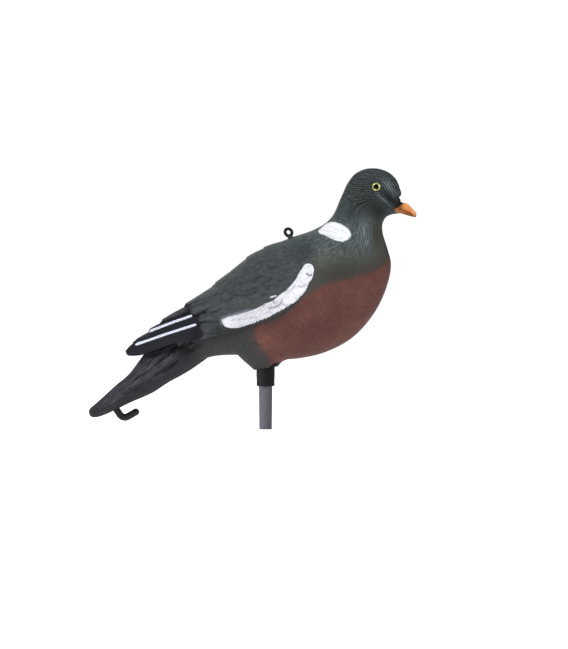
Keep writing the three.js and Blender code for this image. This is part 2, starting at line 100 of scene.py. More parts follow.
# The shell's sections, from tail to face: top (x, z), bottom (x, z) and half-width
TORSO_RUNGS = [
    [-101, 104, -82, 66, 13],
    [-75, 130, -62, 76.4, 27],
    [-50, 154, -44, 79.3, 39],
    [-25, 176, -20, 79, 48],
    [0, 193, 5, 75.3, 55],
    [26, 204.6, 35, 75.8, 58.5],
    [46, 211.2, 66, 83.2, 58.5],
    [57, 216.2, 94, 98.8, 55.5],
    [64.4, 220.7, 117.5, 126, 49],
    [69.5, 225.6, 130.6, 155, 41.5],
    [73.1, 230.4, 134.3, 177, 34.5],
    [76.2, 236.8, 130.4, 194, 28],
    [79.2, 244.5, 125.7, 209, 23.3],
    [83, 252.8, 125.2, 219, 20.8],
    [88.2, 263.8, 128.6, 226.4, 19.8],
    [96.3, 273.6, 133, 229.1, 19.5],
    [108, 278.8, 137, 230.2, 19.2],
    [121.5, 278.7, 139.6, 230.5, 18.2],
    [132.5, 274.4, 141, 230.5, 16],
    [140.2, 267, 141.8, 230.6, 12.6],
    [143.7, 258.4, 142.2, 230.8, 9.4],
    [145.3, 251.6, 142.8, 231.2, 7.2],
    [141.8, 247.8, 142, 232, 6.2],
]

# The form under the folded wings, from their tips to the shoulder, in the same way
WING_RUNGS = [
    [-149.6, 83, -148.4, 72, 5],
    [-146, 89.6, -142.5, 66, 8.5],
    [-138.5, 95.8, -133, 61, 13],
    [-121, 108.6, -116, 58, 20],
    [-103.4, 121, -98, 59, 26.5],
    [-85.1, 133.2, -80, 62, 33],
    [-66.4, 146.2, -60, 70, 38.5],
    [-41.7, 165.6, -36, 76, 45],
    [-18.6, 184.8, -14, 77.5, 50.5],
    [0, 195.4, 5, 75.3, 55.5],
    [26, 205.4, 35, 75.8, 58.5],
    [46, 210.5, 66, 83.2, 58],
    [57, 215, 94, 98.8, 54],
]

# The wings' lower edge, from the shoulder to the tips
WING_EDGE = [
    [53.2, 176], [51.6, 164], [43.4, 149], [32.8, 135.6], [14.6, 123.6], [-7.4, 114.6],
    [-26, 108.2], [-40, 104.4], [-56, 99.6], [-70.7, 96.4], [-91.4, 93.4], [-110, 87.4],
    [-131, 79.8], [-142, 78.6], [-146.6, 79.2], [-149, 81.4], [-150.2, 84],
]

# The lower edges of the long feathers, top to bottom, each from the shoulder to its tip on the back
FEATHER_EDGES = [
    [[52.5, 201], [25, 195.5], [5, 185], [-15, 172], [-35, 161.5], [-54, 153.6]],
    [[53.2, 195], [30, 188], [12, 178], [-5, 165.5], [-25, 154.5], [-45, 147.5], [-66, 140.5],
     [-86, 131.6]],
    [[53.6, 189], [38, 182], [22, 172.5], [6, 160], [-13, 149], [-34, 141], [-50, 136.5],
     [-66, 131.5], [-82, 125.5], [-110.6, 114]],
    [[53.6, 184], [40, 177], [27, 166], [12, 153], [-8, 141.5], [-30, 133], [-52, 126.6],
     [-66, 123.6], [-79.2, 120.6], [-123.6, 105.2]],
    [[53.4, 180], [41.4, 174], [34.7, 163.7], [30, 157.5], [19.8, 146.5], [12.7, 143],
     [-0.5, 134], [-22.6, 125.4], [-43.8, 118], [-74.9, 111.2], [-138.2, 92]],
]

# The tail: top ridge (x, z), side edge (x, z), half-width and keel (x, z)
TAIL_ROWS = [
    [-58, 112, -62, 92, 15, -58, 80],
    [-82, 108, -82, 79.4, 20.5, -81.5, 63.6],
    [-104, 96, -103, 64.6, 23.5, -104.1, 50.7],
    [-122, 90, -121, 52.6, 25.5, -119, 41],
    [-134, 74.4, -134, 44.4, 27, -132, 34.3],
    [-146.2, 58.4, -145, 37.8, 28.2, -145.4, 28.2],
    [-160.3, 46.5, -158, 30.8, 29.2, -159.5, 21.3],
    [-173.9, 33.7, -167, 25.6, 29, -171, 16],
    [-182.8, 25.6, -172.4, 23.2, 27.6, -179, 13.3],
    [-187.9, 21.2, -176, 21.4, 25.4, -185, 13],
    [-189.2, 18.4, -177.6, 20.6, 24, -187.8, 14.6],
]
TAIL_FEATHERS = 6

# The bill, base to tip: top (x, z), bottom (x, z) and half-width
BILL_RUNGS = [
    [136, 246, 136, 232.5, 4.6],
    [142, 245.6, 142, 231.2, 5],
    [147.2, 242.2, 146.4, 230.6, 4.9],
    [151, 242, 149.8, 229.5, 4.5],
    [157.2, 236.2, 155.4, 227.9, 3.3],
    [160.9, 232, 159.2, 227, 2.2],
    [161.9, 230, 161, 227, 1.1],
]

# The boss round the bush: front (x, z) and rear (x, z) at each level, and its radius past the mouth's
BOSS_RUNGS = [
    [13.2, 67.3, -12, 63.4, 0],
    [15, 69.3, -14.5, 65.6, 1.8],
    [18.4, 72.6, -20.4, 70.8, 6.4],
    [27, 76.4, -27.6, 77.4, 13],
    [42, 90, -40, 92, 24],
]


# Curves, sections and lofts

class Curve:
    """A smooth curve through rows of numbers: row i is at t = i. Its slopes allow for uneven gaps."""

    def __init__(self, rows):
        self.rows = np.array(rows, float)
        self.last = len(self.rows) - 1
        gaps = np.diff(self.rows, axis=0)
        self.steps = np.sqrt(np.linalg.norm(gaps[:, :4], axis=1))
        rates = gaps / self.steps[:, None]
        before, after = self.steps[:-1, None], self.steps[1:, None]
        self.slopes = np.vstack([
            rates[:1],
            (rates[:-1] * after + rates[1:] * before) / (before + after),
            rates[-1:],
        ])

    def __call__(self, t):
        t = np.asarray(t, float)
        i = np.clip(t.astype(int), 0, self.last - 1)
        u = (t - i)[..., None]
        h = self.steps[i][..., None]
        return (self.rows[i] * (1 + 2 * u) * (1 - u) ** 2
                + self.rows[i + 1] * u * u * (3 - 2 * u)
                + h * self.slopes[i] * u * (1 - u) ** 2
                - h * self.slopes[i + 1] * u * u * (1 - u))


def ease(value, low, high):
    u = np.clip((value - low) / (high - low), 0, 1)
    return u * u * (3 - 2 * u)


def mix(a, b, share):
    return a + (b - a) * share


def bell(value, width):
    """1 at 0, falling softly to nearly nothing at twice the width."""
    return np.exp(-(value / width) ** 2)


def reach_along(steps):
    """How far each point of a line is along it, from the lengths of its steps."""
    return np.concatenate([[0], np.cumsum(steps)])


def on_section(rung, a, out=0.0):
    """Points on the section of a rung: a is 0 at its top and pi at its bottom, out is off its surface."""
    top_x, top_z, low_x, low_z, half = np.moveaxis(rung, -1, 0)
    long = np.hypot(top_x - low_x, top_z - low_z) / 2
    up_x, up_z = (top_x - low_x) / 2 / long, (top_z - low_z) / 2 / long
    slant_up, slant_out = half * np.cos(a), long * np.sin(a)
    slant = np.maximum(np.hypot(slant_up, slant_out), 1e-9)
    up = long * np.cos(a) + out * slant_up / slant
    across = half * np.sin(a) + out * slant_out / slant
    return np.stack([(top_x + low_x) / 2 + up_x * up, across, (top_z + low_z) / 2 + up_z * up], -1)


def beside(rung, x, z):
    """On which side of a rung drawn points lie, by the sign."""
    top_x, top_z, low_x, low_z = np.moveaxis(rung[..., :4], -1, 0)
    return (top_x - low_x) * (z - low_z) - (top_z - low_z) * (x - low_x)


def find_on(curve, x, z):
    """Where a drawn point lies on a run of rungs: t along it, and the section angle a."""
    low, high = 0, curve.last
    rising = beside(curve(high), x, z) > beside(curve(low), x, z)
    for _ in range(30):
        t = (low + high) / 2
        if (beside(curve(t), x, z) > 0) == rising:
            high = t
        else:
            low = t
    top_x, top_z, low_x, low_z = curve(t)[:4]
    square = (top_x - low_x) ** 2 + (top_z - low_z) ** 2
    down = ((top_x - x) * (top_x - low_x) + (top_z - z) * (top_z - low_z)) / square
    return t, np.arccos(1 - 2 * down)


def even_steps(curve, count, finer=None, last=None):
    """Values of t that step evenly along a curve's drawn points, closer where finer says."""
    t = np.linspace(0, curve.last if last is None else last, 4000)
    moved = np.diff(curve(t)[:, :4], axis=0)
    length = (np.hypot(moved[:, 0], moved[:, 1]) + np.hypot(moved[:, 2], moved[:, 3])) / 2
    if finer is not None:
        length = length * finer((t[1:] + t[:-1]) / 2)
    reach = reach_along(length)
    return np.interp(np.linspace(0, reach[-1], count), reach, t)


def full_turn(count):
    """Evenly stepped angles of a whole turn."""
    return np.arange(count) * 2 * np.pi / count


def whole_sections(curve, t, count):
    """The rungs of a curve at t, and the angles of the points all round each of them."""
    return curve(t)[:, None, :], np.broadcast_to(full_turn(count), (len(t), count))


MIRRORED = (1, -1, 1)


def round_again(rings, turned=(1, 1, 1)):
    """Rings of one side, carried on back along the other side."""
    return np.concatenate([rings, rings[:, :0:-1] * turned], axis=1)


def to_model(points):
    """Drawn points (x, y, z) in the model's frame, in metres."""
    return (np.asarray(points, float) - [AXIS_X, 0, 0]) * MM


def place_object(name, data):
    made = bpy.data.objects.new(name, data)
    bpy.context.scene.collection.objects.link(made)
    return made


def tidy_up(mesh, weld=1e-7):
    """Welds a mesh's doubled points, turns it right side out and cuts its faces into triangles."""
    work = bmesh.new()
    work.from_mesh(mesh)
    bmesh.ops.remove_doubles(work, verts=work.verts, dist=weld)
    bmesh.ops.recalc_face_normals(work, faces=work.faces)
    if work.calc_volume(signed=True) < 0:
        bmesh.ops.reverse_faces(work, faces=work.faces)
    bmesh.ops.triangulate(work, faces=work.faces)
    work.to_mesh(mesh)
    work.free()


def closed_mesh(name, points, faces, marks=None):
    """A closed mesh object. Marks are numbers that its points carry."""
    mesh = bpy.data.meshes.new(name)
    mesh.from_pydata(points.tolist(), [], faces)
    for mark, values in (marks or {}).items():
        keep_mark(mesh, mark, values)
    tidy_up(mesh)
    return place_object(name, mesh)


def keep_mark(mesh, mark, values):
    layer = mesh.attributes.new(mark, "FLOAT_VECTOR", "POINT")
    layer.data.foreach_set("vector", np.ascontiguousarray(values, np.float32).ravel())


def read_rows(items, field, width, kind=float):
    values = np.zeros(len(items) * width, kind)
    items.foreach_get(field, values)
    return values.reshape(-1, width)


def band_faces(rows, count):
    """The faces between rows of points that each go all round."""
    faces = []
    for row in range(rows - 1):
        for k in range(count):
            a, b = row * count + k, row * count + (k + 1) % count
            faces.append((a, b, b + count, a + count))
    return faces


def loft(name, rings, zip_from=None, marks=None):
    """A closed form through rings of points, each end closed round its middle, or zipped side to side
    from the point numbered zip_from."""
    count = rings.shape[1]
    points = to_model(rings.reshape(-1, 3))
    marks = {mark: np.reshape(values, (-1, 3)) for mark, values in (marks or {}).items()}
    faces = band_faces(len(rings), count)
    for start, flip in ((0, False), ((len(rings) - 1) * count, True)):
        if zip_from is None:
            points = np.vstack([points, points[start:start + count].mean(0)])
            marks = {mark: np.vstack([values, values[start:start + count].mean(0)])
                     for mark, values in marks.items()}
            hub = len(points) - 1
            cap = [(hub, start + (k + 1) % count, start + k) for k in range(count)]
        else:
            cap = [[start + (zip_from + k) % count for k in (-i, -i - 1, i + 2, i + 1)]
                   for i in range(count // 2 - 1)]
        faces += [tuple(reversed(face)) for face in cap] if flip else cap
    return closed_mesh(name, points, faces, marks)


def join(piece, other, operation="UNION"):
    """Joins another closed form to a piece, or cuts it out of it."""
    tool = piece.modifiers.new("join", "BOOLEAN")
    tool.solver = "MANIFOLD"
    tool.operation = operation
    tool.object = other
    graph = bpy.context.evaluated_depsgraph_get()
    made = bpy.data.meshes.new_from_object(piece.evaluated_get(graph))
    piece.modifiers.clear()
    old = piece.data
    piece.data = made
    bpy.data.meshes.remove(old)
    bpy.data.objects.remove(other)


def height_at(line, x):
    """The height of a drawn line of points at x."""
    order = sorted(line)
    return np.interp(x, [p[0] for p in order], [p[1] for p in order])


# Lines and outlines in the drawing

def smooth_line(points, closed=False, per_step=6):
    rows = list(points)
    if closed:
        rows = rows[-2:] + rows + rows[:3]
    first, last = (2, len(points) + 2) if closed else (0, len(rows) - 1)
    return Curve(rows)(np.linspace(first, last, per_step * (last - first) + 1))


def seen(points):
    """The drawn (x, z) of points. What stands nearer the eye spreads from the middle of the view."""
    spread = VIEW_FROM / (VIEW_FROM - np.abs(points[..., 1]))
    return mix(VIEW_X, points[..., 0], spread), mix(VIEW_Z, points[..., 2], spread)


def distance_to(line, x, z):
    """How far drawn points lie from a line of points."""
    nearest = np.full(np.shape(x), 1e6)
    for (x0, z0), (x1, z1) in zip(line[:-1], line[1:]):
        dx, dz = x1 - x0, z1 - z0
        k = np.clip(((x - x0) * dx + (z - z0) * dz) / (dx * dx + dz * dz + 1e-12), 0, 1)
        nearest = np.minimum(nearest, np.hypot(x - x0 - k * dx, z - z0 - k * dz))
    return nearest


def depth_in(outline, x, z):
    """How deep drawn points lie inside a closed outline, less than 0 outside it."""
    crossings = np.zeros(np.shape(x), bool)
    for (x0, z0), (x1, z1) in zip(outline[:-1], outline[1:]):
        if z0 != z1:
            spans = (z0 > z) != (z1 > z)
            crossings ^= spans & (x < x0 + (z - z0) * (x1 - x0) / (z1 - z0))
    return np.where(crossings, 1, -1) * distance_to(outline, x, z)


def over_line(line, x, z):
    """How far drawn points lie over a line that runs tailwards and down, less than 0 under it."""
    order = np.array(sorted(np.asarray(line).tolist()))
    over = z > np.interp(x, order[:, 0], order[:, 1])
    return np.where(over, 1, -1) * distance_to(line, x, z)


def ridge(line, x, z, width, height):
    """A soft raised ridge along a line, or a groove where height is negative."""
    return height * bell(distance_to(line, x, z), width)


BACK_LINE = [row[:2] for row in WING_RUNGS]

# Fine lines cut into the plastic: points, half-width, and how much darker the shell is along them
WING_LINES = [
    ([[5.5, 171.8], [11.8, 174.7]], 0.9, 0.55), ([[-9.3, 161.7], [-2.8, 163.8]], 1.0, 0.6),
    ([[2.4, 158.4], [6.4, 160.6]], 0.9, 0.5), ([[13.5, 158.7], [18, 159.8], [24.2, 163.5]], 0.8, 0.45),
    ([[24.2, 178.2], [31.6, 181.5], [41.3, 183.8]], 0.9, 0.25),
    ([[-27.7, 146.9], [-19.7, 148], [-13.3, 150.7]], 0.8, 0.5),
    ([[-33.6, 143.2], [-21.8, 143.2], [-13.3, 144.8], [-9.5, 147.4], [-10.8, 151.2]], 0.9, 0.6),
    ([[-49.1, 137.8], [-41.1, 138.9], [-35.7, 140.2]], 0.8, 0.5),
    ([[-48, 135.4], [-40, 137.1]], 0.7, 0.35), ([[-78.5, 130], [-71, 133], [-64.1, 135.7]], 0.8, 0.5),
    ([[-76.4, 120.4], [-67.8, 120.2], [-60.3, 122.8], [-51.8, 125.7]], 0.9, 0.55),
    ([[-67.8, 114.6], [-59.3, 114.6], [-50.2, 115.2]], 0.9, 0.6),
    ([[-15.4, 159.7], [-10.6, 160.2]], 0.8, 0.35), ([[-33.6, 156.5], [-27.2, 157.1]], 0.8, 0.35),
    ([[-34.5, 157.4], [-25, 153.6]], 0.8, 0.25), ([[-20, 160.9], [-9.7, 157.4]], 0.8, 0.25),
    ([[-9.7, 185], [-6.4, 178], [-3, 170]], 0.9, 0.25), ([[-46, 118.5], [-30, 123.5]], 1.2, 0.2),
    ([[-29.5, 172], [-20, 176.5]], 0.9, 0.2), ([[-1, 149], [6, 152.8], [14, 153.4]], 0.9, 0.25),
    ([[14, 168], [20, 171.6], [27, 171]], 0.9, 0.25), ([[-17, 137.6], [-6, 141], [1, 146]], 0.9, 0.25),
]
BAR_LINES = [
    ([[44, 166.6], [46.6, 164.7], [50.4, 165.4]], 0.75, 1.3), ([[45.3, 173.9], [48.3, 175.3]], 0.6, 0.5),
    ([[35.2, 153], [38.9, 152.5], [43.4, 154.5]], 0.8, 0.6), ([[42.7, 160.8], [46.4, 161.6]], 0.8, 0.3),
    ([[22.4, 147.3], [28.4, 150.3], [32.2, 153.3]], 0.7, 0.4),
    ([[17.4, 138.6], [17.6, 134.2], [20.8, 132.4], [27, 133.6]], 0.8, 0.5),
    ([[31.5, 141.6], [33.4, 138.4], [36, 141]], 0.8, 0.35),
    ([[3.5, 129.8], [9.7, 130.3], [14.4, 132.2], [17, 136]], 0.9, 0.8),
    ([[-2.4, 131.4], [-0.9, 133.8]], 0.7, 0.8), ([[8.9, 138.6], [8.5, 136.2], [11.4, 134.3]], 0.6, 0.7),
    ([[4, 139.9], [8.6, 139.9], [12.2, 141.6]], 0.7, 0.9), ([[12.2, 134.6], [15.4, 135.6]], 0.6, 0.5),
    ([[-36.7, 116.8], [-21.7, 118.1], [-9, 120.5]], 0.55, 0.45),
    ([[19.6, 146.6], [24.4, 150.2]], 0.7, 0.5), ([[-8, 121.4], [-2, 124], [5, 125.6]], 0.6, 0.3),
]
PATCH_LINES = [
    ([[66, 208.4], [74.5, 204.6], [83, 204.2]], 0.8, 0.8),
    ([[74, 214.6], [81.5, 212.6], [87, 209.4]], 0.7, 0.6),
    ([[62, 212.6], [70, 211.6], [76.6, 209.4]], 0.7, 0.5),
]
TAIL_LINES = [
    ([[-90.1, 86.6], [-85, 89.6], [-79.5, 93.2]], 1.1, 1.5),
    ([[-126.9, 69.1], [-119.1, 76.9], [-112.4, 83.7], [-107, 91]], 0.95, 1.2),
    ([[-117.9, 68.4], [-110.1, 74.4], [-102.3, 81.2], [-94.6, 88.8]], 0.95, 1.4),
    ([[-145.8, 48], [-135.8, 55.8], [-123.5, 63.6], [-116.8, 70.6], [-105.7, 78.6]], 0.85, 1.1),
    ([[-132.6, 69.5], [-125.8, 75.6], [-119, 81]], 0.8, 0.7),
    # The broad band low along the tail's side is a painted shadow.
    ([[-150.2, 37.4], [-134.6, 46.4], [-122.4, 55], [-110.1, 63.6], [-97.9, 71.4], [-83.4, 82.5],
      [-72, 90]], 3.0, 0.7),
    ([[-120, 56.4], [-110, 62.4], [-102.8, 66.6], [-94, 73.4]], 1.2, 1.5),
    ([[-108, 61], [-100, 66.6], [-93, 72.6]], 0.9, 1.1), ([[-99, 77.6], [-91, 83.6]], 0.8, 0.6),
    ([[-98, 82.6], [-91, 87.6], [-85.6, 92.9]], 0.9, 1.3),
    ([[-93.8, 78.4], [-86, 85], [-77.5, 92.9]], 0.9, 1.3),
    ([[-156, 40.6], [-147, 47.6], [-139, 54]], 0.8, 0.45), ([[-150, 51], [-138, 61.4]], 0.9, 0.4),
    ([[-183.6, 14.6], [-183.4, 22]], 0.8, 0.35), ([[-180, 14.4], [-179.4, 23.4]], 0.8, 0.3),
    ([[-175.6, 15.6], [-175, 22.6]], 0.8, 0.2),
]


def cut_lines(lines, x, z):
    """How strongly the lines show at drawn points."""
    dark = np.zeros(np.shape(x))
    for line, half, strength in lines:
        dark = np.maximum(dark, ridge(line, x, z, half, strength))
    return dark


# Feathers carved on the wing

# A feather's round tip, in half-widths, its shaft, the gap along its edge, and the flight feathers' step
ROUND_TIP = 1.2
SHAFT_HALF = 0.45
SHAFT_HEIGHT = 0.14
GAP_WIDTH = 0.7
FEATHER_STEP = 1.4


class Feather:
    """A strap with a round tip: where its tip is, the way it points in degrees, its length and
    half-width, and how far its tip stands up."""

    def __init__(self, tip, turn, length, half, lift):
        self.tip, self.length, self.half, self.lift = tip, length, half, lift
        self.way = (math.cos(math.radians(turn)), math.sin(math.radians(turn)))

    def place(self, x, z):
        """Along the feather from its base, and across it, in millimetres."""
        dx, dz = x - self.tip[0], z - self.tip[1]
        along = self.length + dx * self.way[0] + dz * self.way[1]
        return along, dz * self.way[0] - dx * self.way[1]

    def depth(self, x, z):
        """How deep drawn points lie inside the feather's outline."""
        along, across = self.place(x, z)
        round_from = self.length - self.half * ROUND_TIP
        past = np.maximum(along - round_from, 0) / (self.half * ROUND_TIP)
        tip = (1 - np.hypot(past, across / self.half)) * self.half
        side = self.half - np.abs(across)
        return np.minimum(np.where(past > 0, tip, side), along)

    def height(self, x, z):
        """How high it stands: it rises to its tip, is crowned across and has a shaft."""
        along, across = self.place(x, z)
        slope = np.clip(along / self.length, 0, 1)
        crown = 1 - np.clip(across / self.half, -1, 1) ** 2
        return (self.lift * (0.15 + 0.6 * slope + 0.25 * crown)
                + SHAFT_HEIGHT * bell(across, SHAFT_HALF))


class Carving:
    """Layers of feathers over drawn points: their height, how much darker the gap along a feather's edge
    is, and each point's place along and across its feather."""

    def __init__(self, x, z):
        self.x, self.z = x, z
        self.height = np.zeros(x.shape)
        self.gap = np.zeros(x.shape)
        self.along = x * -1.0
        self.across = z * 1.0

    def lay(self, depth, height, soft, shown):
        """Lays one layer where depth is over 0, and darkens the gap along its edge."""
        cover = ease(depth, -soft / 2, soft / 2)
        self.height = mix(self.height, height, cover)
        self.gap = mix(np.maximum(self.gap, shown * bell(depth + GAP_WIDTH, GAP_WIDTH)), 0, cover)

    def lay_feather(self, feather, ground, shown):
        depth = feather.depth(self.x, self.z)
        along, across = feather.place(self.x, self.z)
        self.lay(depth, ground + feather.height(self.x, self.z), 0.7, shown)
        self.along = np.where(depth > 0, along, self.along)
        self.across = np.where(depth > 0, across, self.across)


# Grey feathers whose round tips end over the dark flight feathers
GREY_TIPS = [
    Feather((-69.5, 108), 190, 42, 7, 1.0),
    Feather((-71.5, 118), 193, 38, 3.8, 0.9),
    Feather((-80.6, 126), 203, 44, 4.6, 1.0),
]

# Rows of small feathers on the front of the wing: the line of their tips, spacing, length, half-width
COVERT_ROWS = [
    ([[-46, 124], [-28, 131], [-10, 137], [4, 146], [16, 154], [27, 164], [37, 176]], 11, 17, 5.4),
    ([[-50, 133], [-34, 139], [-16, 146], [-3, 154], [9, 163], [20, 171], [33, 182]], 10.5, 16, 5.2),
    ([[-38, 147], [-22, 153], [-9, 161], [3, 170], [15, 178], [29, 188]], 10, 15, 5.0),
    ([[-36, 156], [-20, 163], [-6, 172], [8, 181], [24, 190]], 10, 15, 5.0),
]

# Long feathers at the wing's middle: tip (x, z), turn, length and half-width
LONG_COVERTS = [
    ((-47, 141), 194, 40, 3.4), ((-30, 147), 192, 24, 2.5), ((-27, 151.6), 192, 22, 2.6),
    ((-36, 156.5), 196, 26, 2.8), ((-22, 161), 200, 20, 2.8),
]

# The white feathers of the wing bar, tail end first: tip (x, z), turn, length and half-width
BAR_FEATHERS = [
    ((-44.5, 112.6), 191, 42, 5.6), ((-27, 113.6), 199, 30, 5.2), ((-9.5, 118.6), 205, 28, 5.6),
    ((6, 125.6), 210, 26, 5.8), ((20.5, 134.6), 218, 24, 5.8), ((31.5, 145.6), 228, 22, 5.6),
    ((40, 158), 240, 20, 5.4),
]

# Where the feathers along the back end, rear to front
BACK_TIPS = [-139, -124.5, -111, -86, -53.9, -20.8, -2, 26]


def back_steps(x, z):
    """Feathers that lap over each other along the back, which step its outline. They fade downwards."""
    deep = np.maximum(height_at(BACK_LINE, x) - z, 0)
    tips = np.repeat(BACK_TIPS, 2) + np.tile([-0.4, 0.4], len(BACK_TIPS))
    saw = np.interp(x - 0.3 * deep, tips, [-1.0, 0.5] * len(BACK_TIPS), 0, 0)
    return saw * mix(1, 1.3, ease(x, -78, -90)) * bell(deep, 9)


def flow_at(x):
    """The way small feathers point at a drawn x, in degrees: tailwards, and further down in front."""
    return mix(196, 232, float(ease(x, -40, 45)))


def carve_wing(x, z):
    """All the feathers of one wing, lowest layer first."""
    carving = Carving(x, z)
    lines = [smooth_line(line) for line in FEATHER_EDGES]
    over = [over_line(line, x, z) for line in lines]
    far = mix(0.3, 1.0, ease(x, -20, -80))
    for i in reversed(range(len(lines))):
        to_next = np.maximum(-over[i - 1], 0) if i else np.full(x.shape, 12.0)
        share = over[i] / np.maximum(over[i] + to_next, 0.5)
        height = FEATHER_STEP * far * np.clip(1 - share, 0, 1)
        carving.lay(over[i], height, 0.5, 0.6 * ease(x, -62, -92))
    draw = np.random.default_rng(7)
    ground = carving.height
    for feather in GREY_TIPS:
        carving.lay_feather(feather, ground * 0.5, 0.6)
    for line, spacing, length, half in COVERT_ROWS:
        line = smooth_line(line)
        reach = reach_along(np.hypot(*np.diff(line, axis=0).T))
        for stop in np.arange(0, reach[-1], spacing):
            tip = [np.interp(stop, reach, line[:, k]) + draw.normal(0, 0.7) for k in (0, 1)]
            turn = flow_at(tip[0]) + draw.normal(0, 5)
            carving.lay_feather(Feather(tip, turn, length, half, 0.34), ground * 0.8, 0.15)
    for feathers, lift, sunk in ((LONG_COVERTS, 0.4, 0.8), (BAR_FEATHERS, 1.0, 0.3)):
        for tip, turn, length, half in feathers:
            carving.lay_feather(Feather(tip, turn, length, half, lift), ground * sunk, 0.3)
    carving.height += back_steps(x, z) - 0.6 * cut_lines(WING_LINES + BAR_LINES, x, z)
    return carving


# The shell, form by form

TORSO = Curve(TORSO_RUNGS)
WING = Curve(WING_RUNGS)
CROWN_LINE = [row[:2] for row in TORSO_RUNGS]
KEEL_LINE = [row[5:] for row in TAIL_ROWS]
EYE_HEIGHT = float(height_at(CROWN_LINE[:-1], EYE_ALONG)) - EYE_UNDER_CROWN

# The face's carved lines: the brow, the hollow before the eye, the cheek's ridge, the hollow under it
# and the gape. Each has its points, its half-width and how far it stands up
FACE_LINES = [
    ([[112, 267.5], [119.1, 267.4], [129.4, 264.9], [135.5, 259.6], [139.6, 253]], 3.6, 0.8),
    ([[124.6, 255.4], [129.4, 251], [134.4, 245.8], [139, 240.6]], 3.0, -1.3),
    ([[117.6, 252], [121, 249.6], [125.3, 246], [130.4, 241.8], [133.4, 238.6]], 1.6, 1.1),
    ([[120, 243.5], [126, 239.5], [132, 235.6], [138, 233.6]], 2.6, -0.6),
    ([[131, 236.4], [137.7, 235.3], [141.1, 236.2]], 0.9, -0.5),
]
FACE_LIP = [[140.5, 256], [145.2, 252]]
FACE_NOTCH = (145.7, 247.6)
NOTCH_RADIUS = 2.6
THROAT = (116, 225)
LONGEST_HAIR_LOOP = 62

# How finely the forms are meshed: rows of points, and points in a row
TORSO_MESH = (250, 160)
WING_MESH = (205, 78)
BOSS_MESH = (26, 96)
BILL_MESH = (60, 56)
TAIL_MESH_ROWS = 112
TAIL_POINTS_A_FEATHER = 9


def face_relief(x, z):
    """The carving of the face, with the eye's raised rim and the hollow round it."""
    from_eye = np.hypot(x - EYE_ALONG, z - EYE_HEIGHT)
    relief = sum(ridge(line, x, z, half, height) for line, half, height in FACE_LINES)
    return relief + 0.5 * bell(from_eye - 6.1, 0.8) - 0.5 * bell(from_eye - 8.2, 1.3)


def head_grain(x, z):
    """Across the carved hairlines of the head. They circle the throat, lie level behind the eye and
    follow the crown down to the bill."""
    side, up = x - THROAT[0], np.maximum(z - THROAT[1], 0.01)
    reach = np.linspace(0.5, LONGEST_HAIR_LOOP, 90)
    wide = reach * np.where(side[..., None] > 0, 0.8, 1 + 6 * ease(reach, 16, 34))
    outside = (side[..., None] / wide) ** 2 + (up[..., None] / reach) ** 2 > 1
    k = np.clip(outside.sum(-1), 1, len(reach) - 1)

    def miss(i):
        return (side / np.take_along_axis(wide, i[..., None], -1)[..., 0]) ** 2 + (up / reach[i]) ** 2 - 1

    before, after = miss(k - 1), miss(k)
    return mix(reach[k - 1], reach[k], np.clip(before / (before - after), 0, 1))


GRAIN_RADIUS = 38


def torso_grain(t, a):
    """Across and along the fine carving of the torso: its sections' own lines."""
    middle = TORSO(t)[:, :4]
    steps = np.linalg.norm(np.diff(middle, axis=0), axis=1) / math.sqrt(2)
    return a * GRAIN_RADIUS, np.broadcast_to(reach_along(steps)[:, None], a.shape)


# Each form marks its points with the drawn place (x, z) that its carving was worked out from and its
# own number, and with the place across and along its fine grain and the dark of the gaps
TORSO_FORM, WING_FORM, TAIL_FORM, BOSS_FORM, BILL_FORM = 1, 2, 3, 4, 5


def form_marks(form, x, z, across, along, gap=0.0):
    shape = np.broadcast(x, across, along).shape
    drawn = np.stack([np.broadcast_to(v, shape) for v in (x, z, float(form))], -1)
    grain = np.stack([np.broadcast_to(v, shape) for v in (across, along, gap)], -1)
    return {"drawn": drawn, "grain": grain}


def make_torso():
    rows, count = TORSO_MESH
    t = even_steps(TORSO, rows, lambda t: 1 + 0.7 * ease(t, 12, 14))
    rungs, angles = whole_sections(TORSO, t, count)
    x, z = seen(on_section(rungs, angles))
    out = face_relief(x, z) * ease(np.abs(np.sin(angles)), 0.3, 0.75)
    out += ridge(FACE_LIP, x, z, 1.5, 0.4)
    across, along = torso_grain(t, np.minimum(angles, 2 * np.pi - angles))
    marks = form_marks(TORSO_FORM, x, z, across, along)
    return loft("shell", on_section(rungs, angles, out), marks=marks)


def crossing(line, rung):
    """The section angle at which a drawn line crosses a rung, or None."""
    top_z, low_z = rung[1], rung[3]
    before = None
    for x, z in line:
        after = beside(rung, x, z)
        if before is not None and before[0] * after <= 0 and before[0] != after:
            down = (top_z - mix(before[1], z, before[0] / (before[0] - after))) / (top_z - low_z)
            return math.acos(1 - 2 * min(down, 0.98)) if down > 0 else None
        before = (after, z)
    return None


# The wing's lower edge: how far it stands off the flank and how little off the shoulder, how deep its
# lip is sunk, how round it is, and how far the back dives under at the shoulder
EDGE_STEP = 3.4
EDGE_AT_SHOULDER = 0.4
EDGE_SUNK = 1.6
EDGE_ROUND = 0.9
SHOULDER_DIVE = 2.5


def at_shoulder(t, shoulder):
    """0 along the wing, rising to 1 at the shoulder."""
    return ease(t, WING.last - 3.4, shoulder - 0.15)


def wing_stands(t, share, shoulder):
    """How far the plain wing stands off its section, by the share of the way from back to edge."""
    near = at_shoulder(t, shoulder)
    return mix(-SHOULDER_DIVE * near, mix(EDGE_STEP, EDGE_AT_SHOULDER, near ** 2), ease(share, 0.2, 0.75))


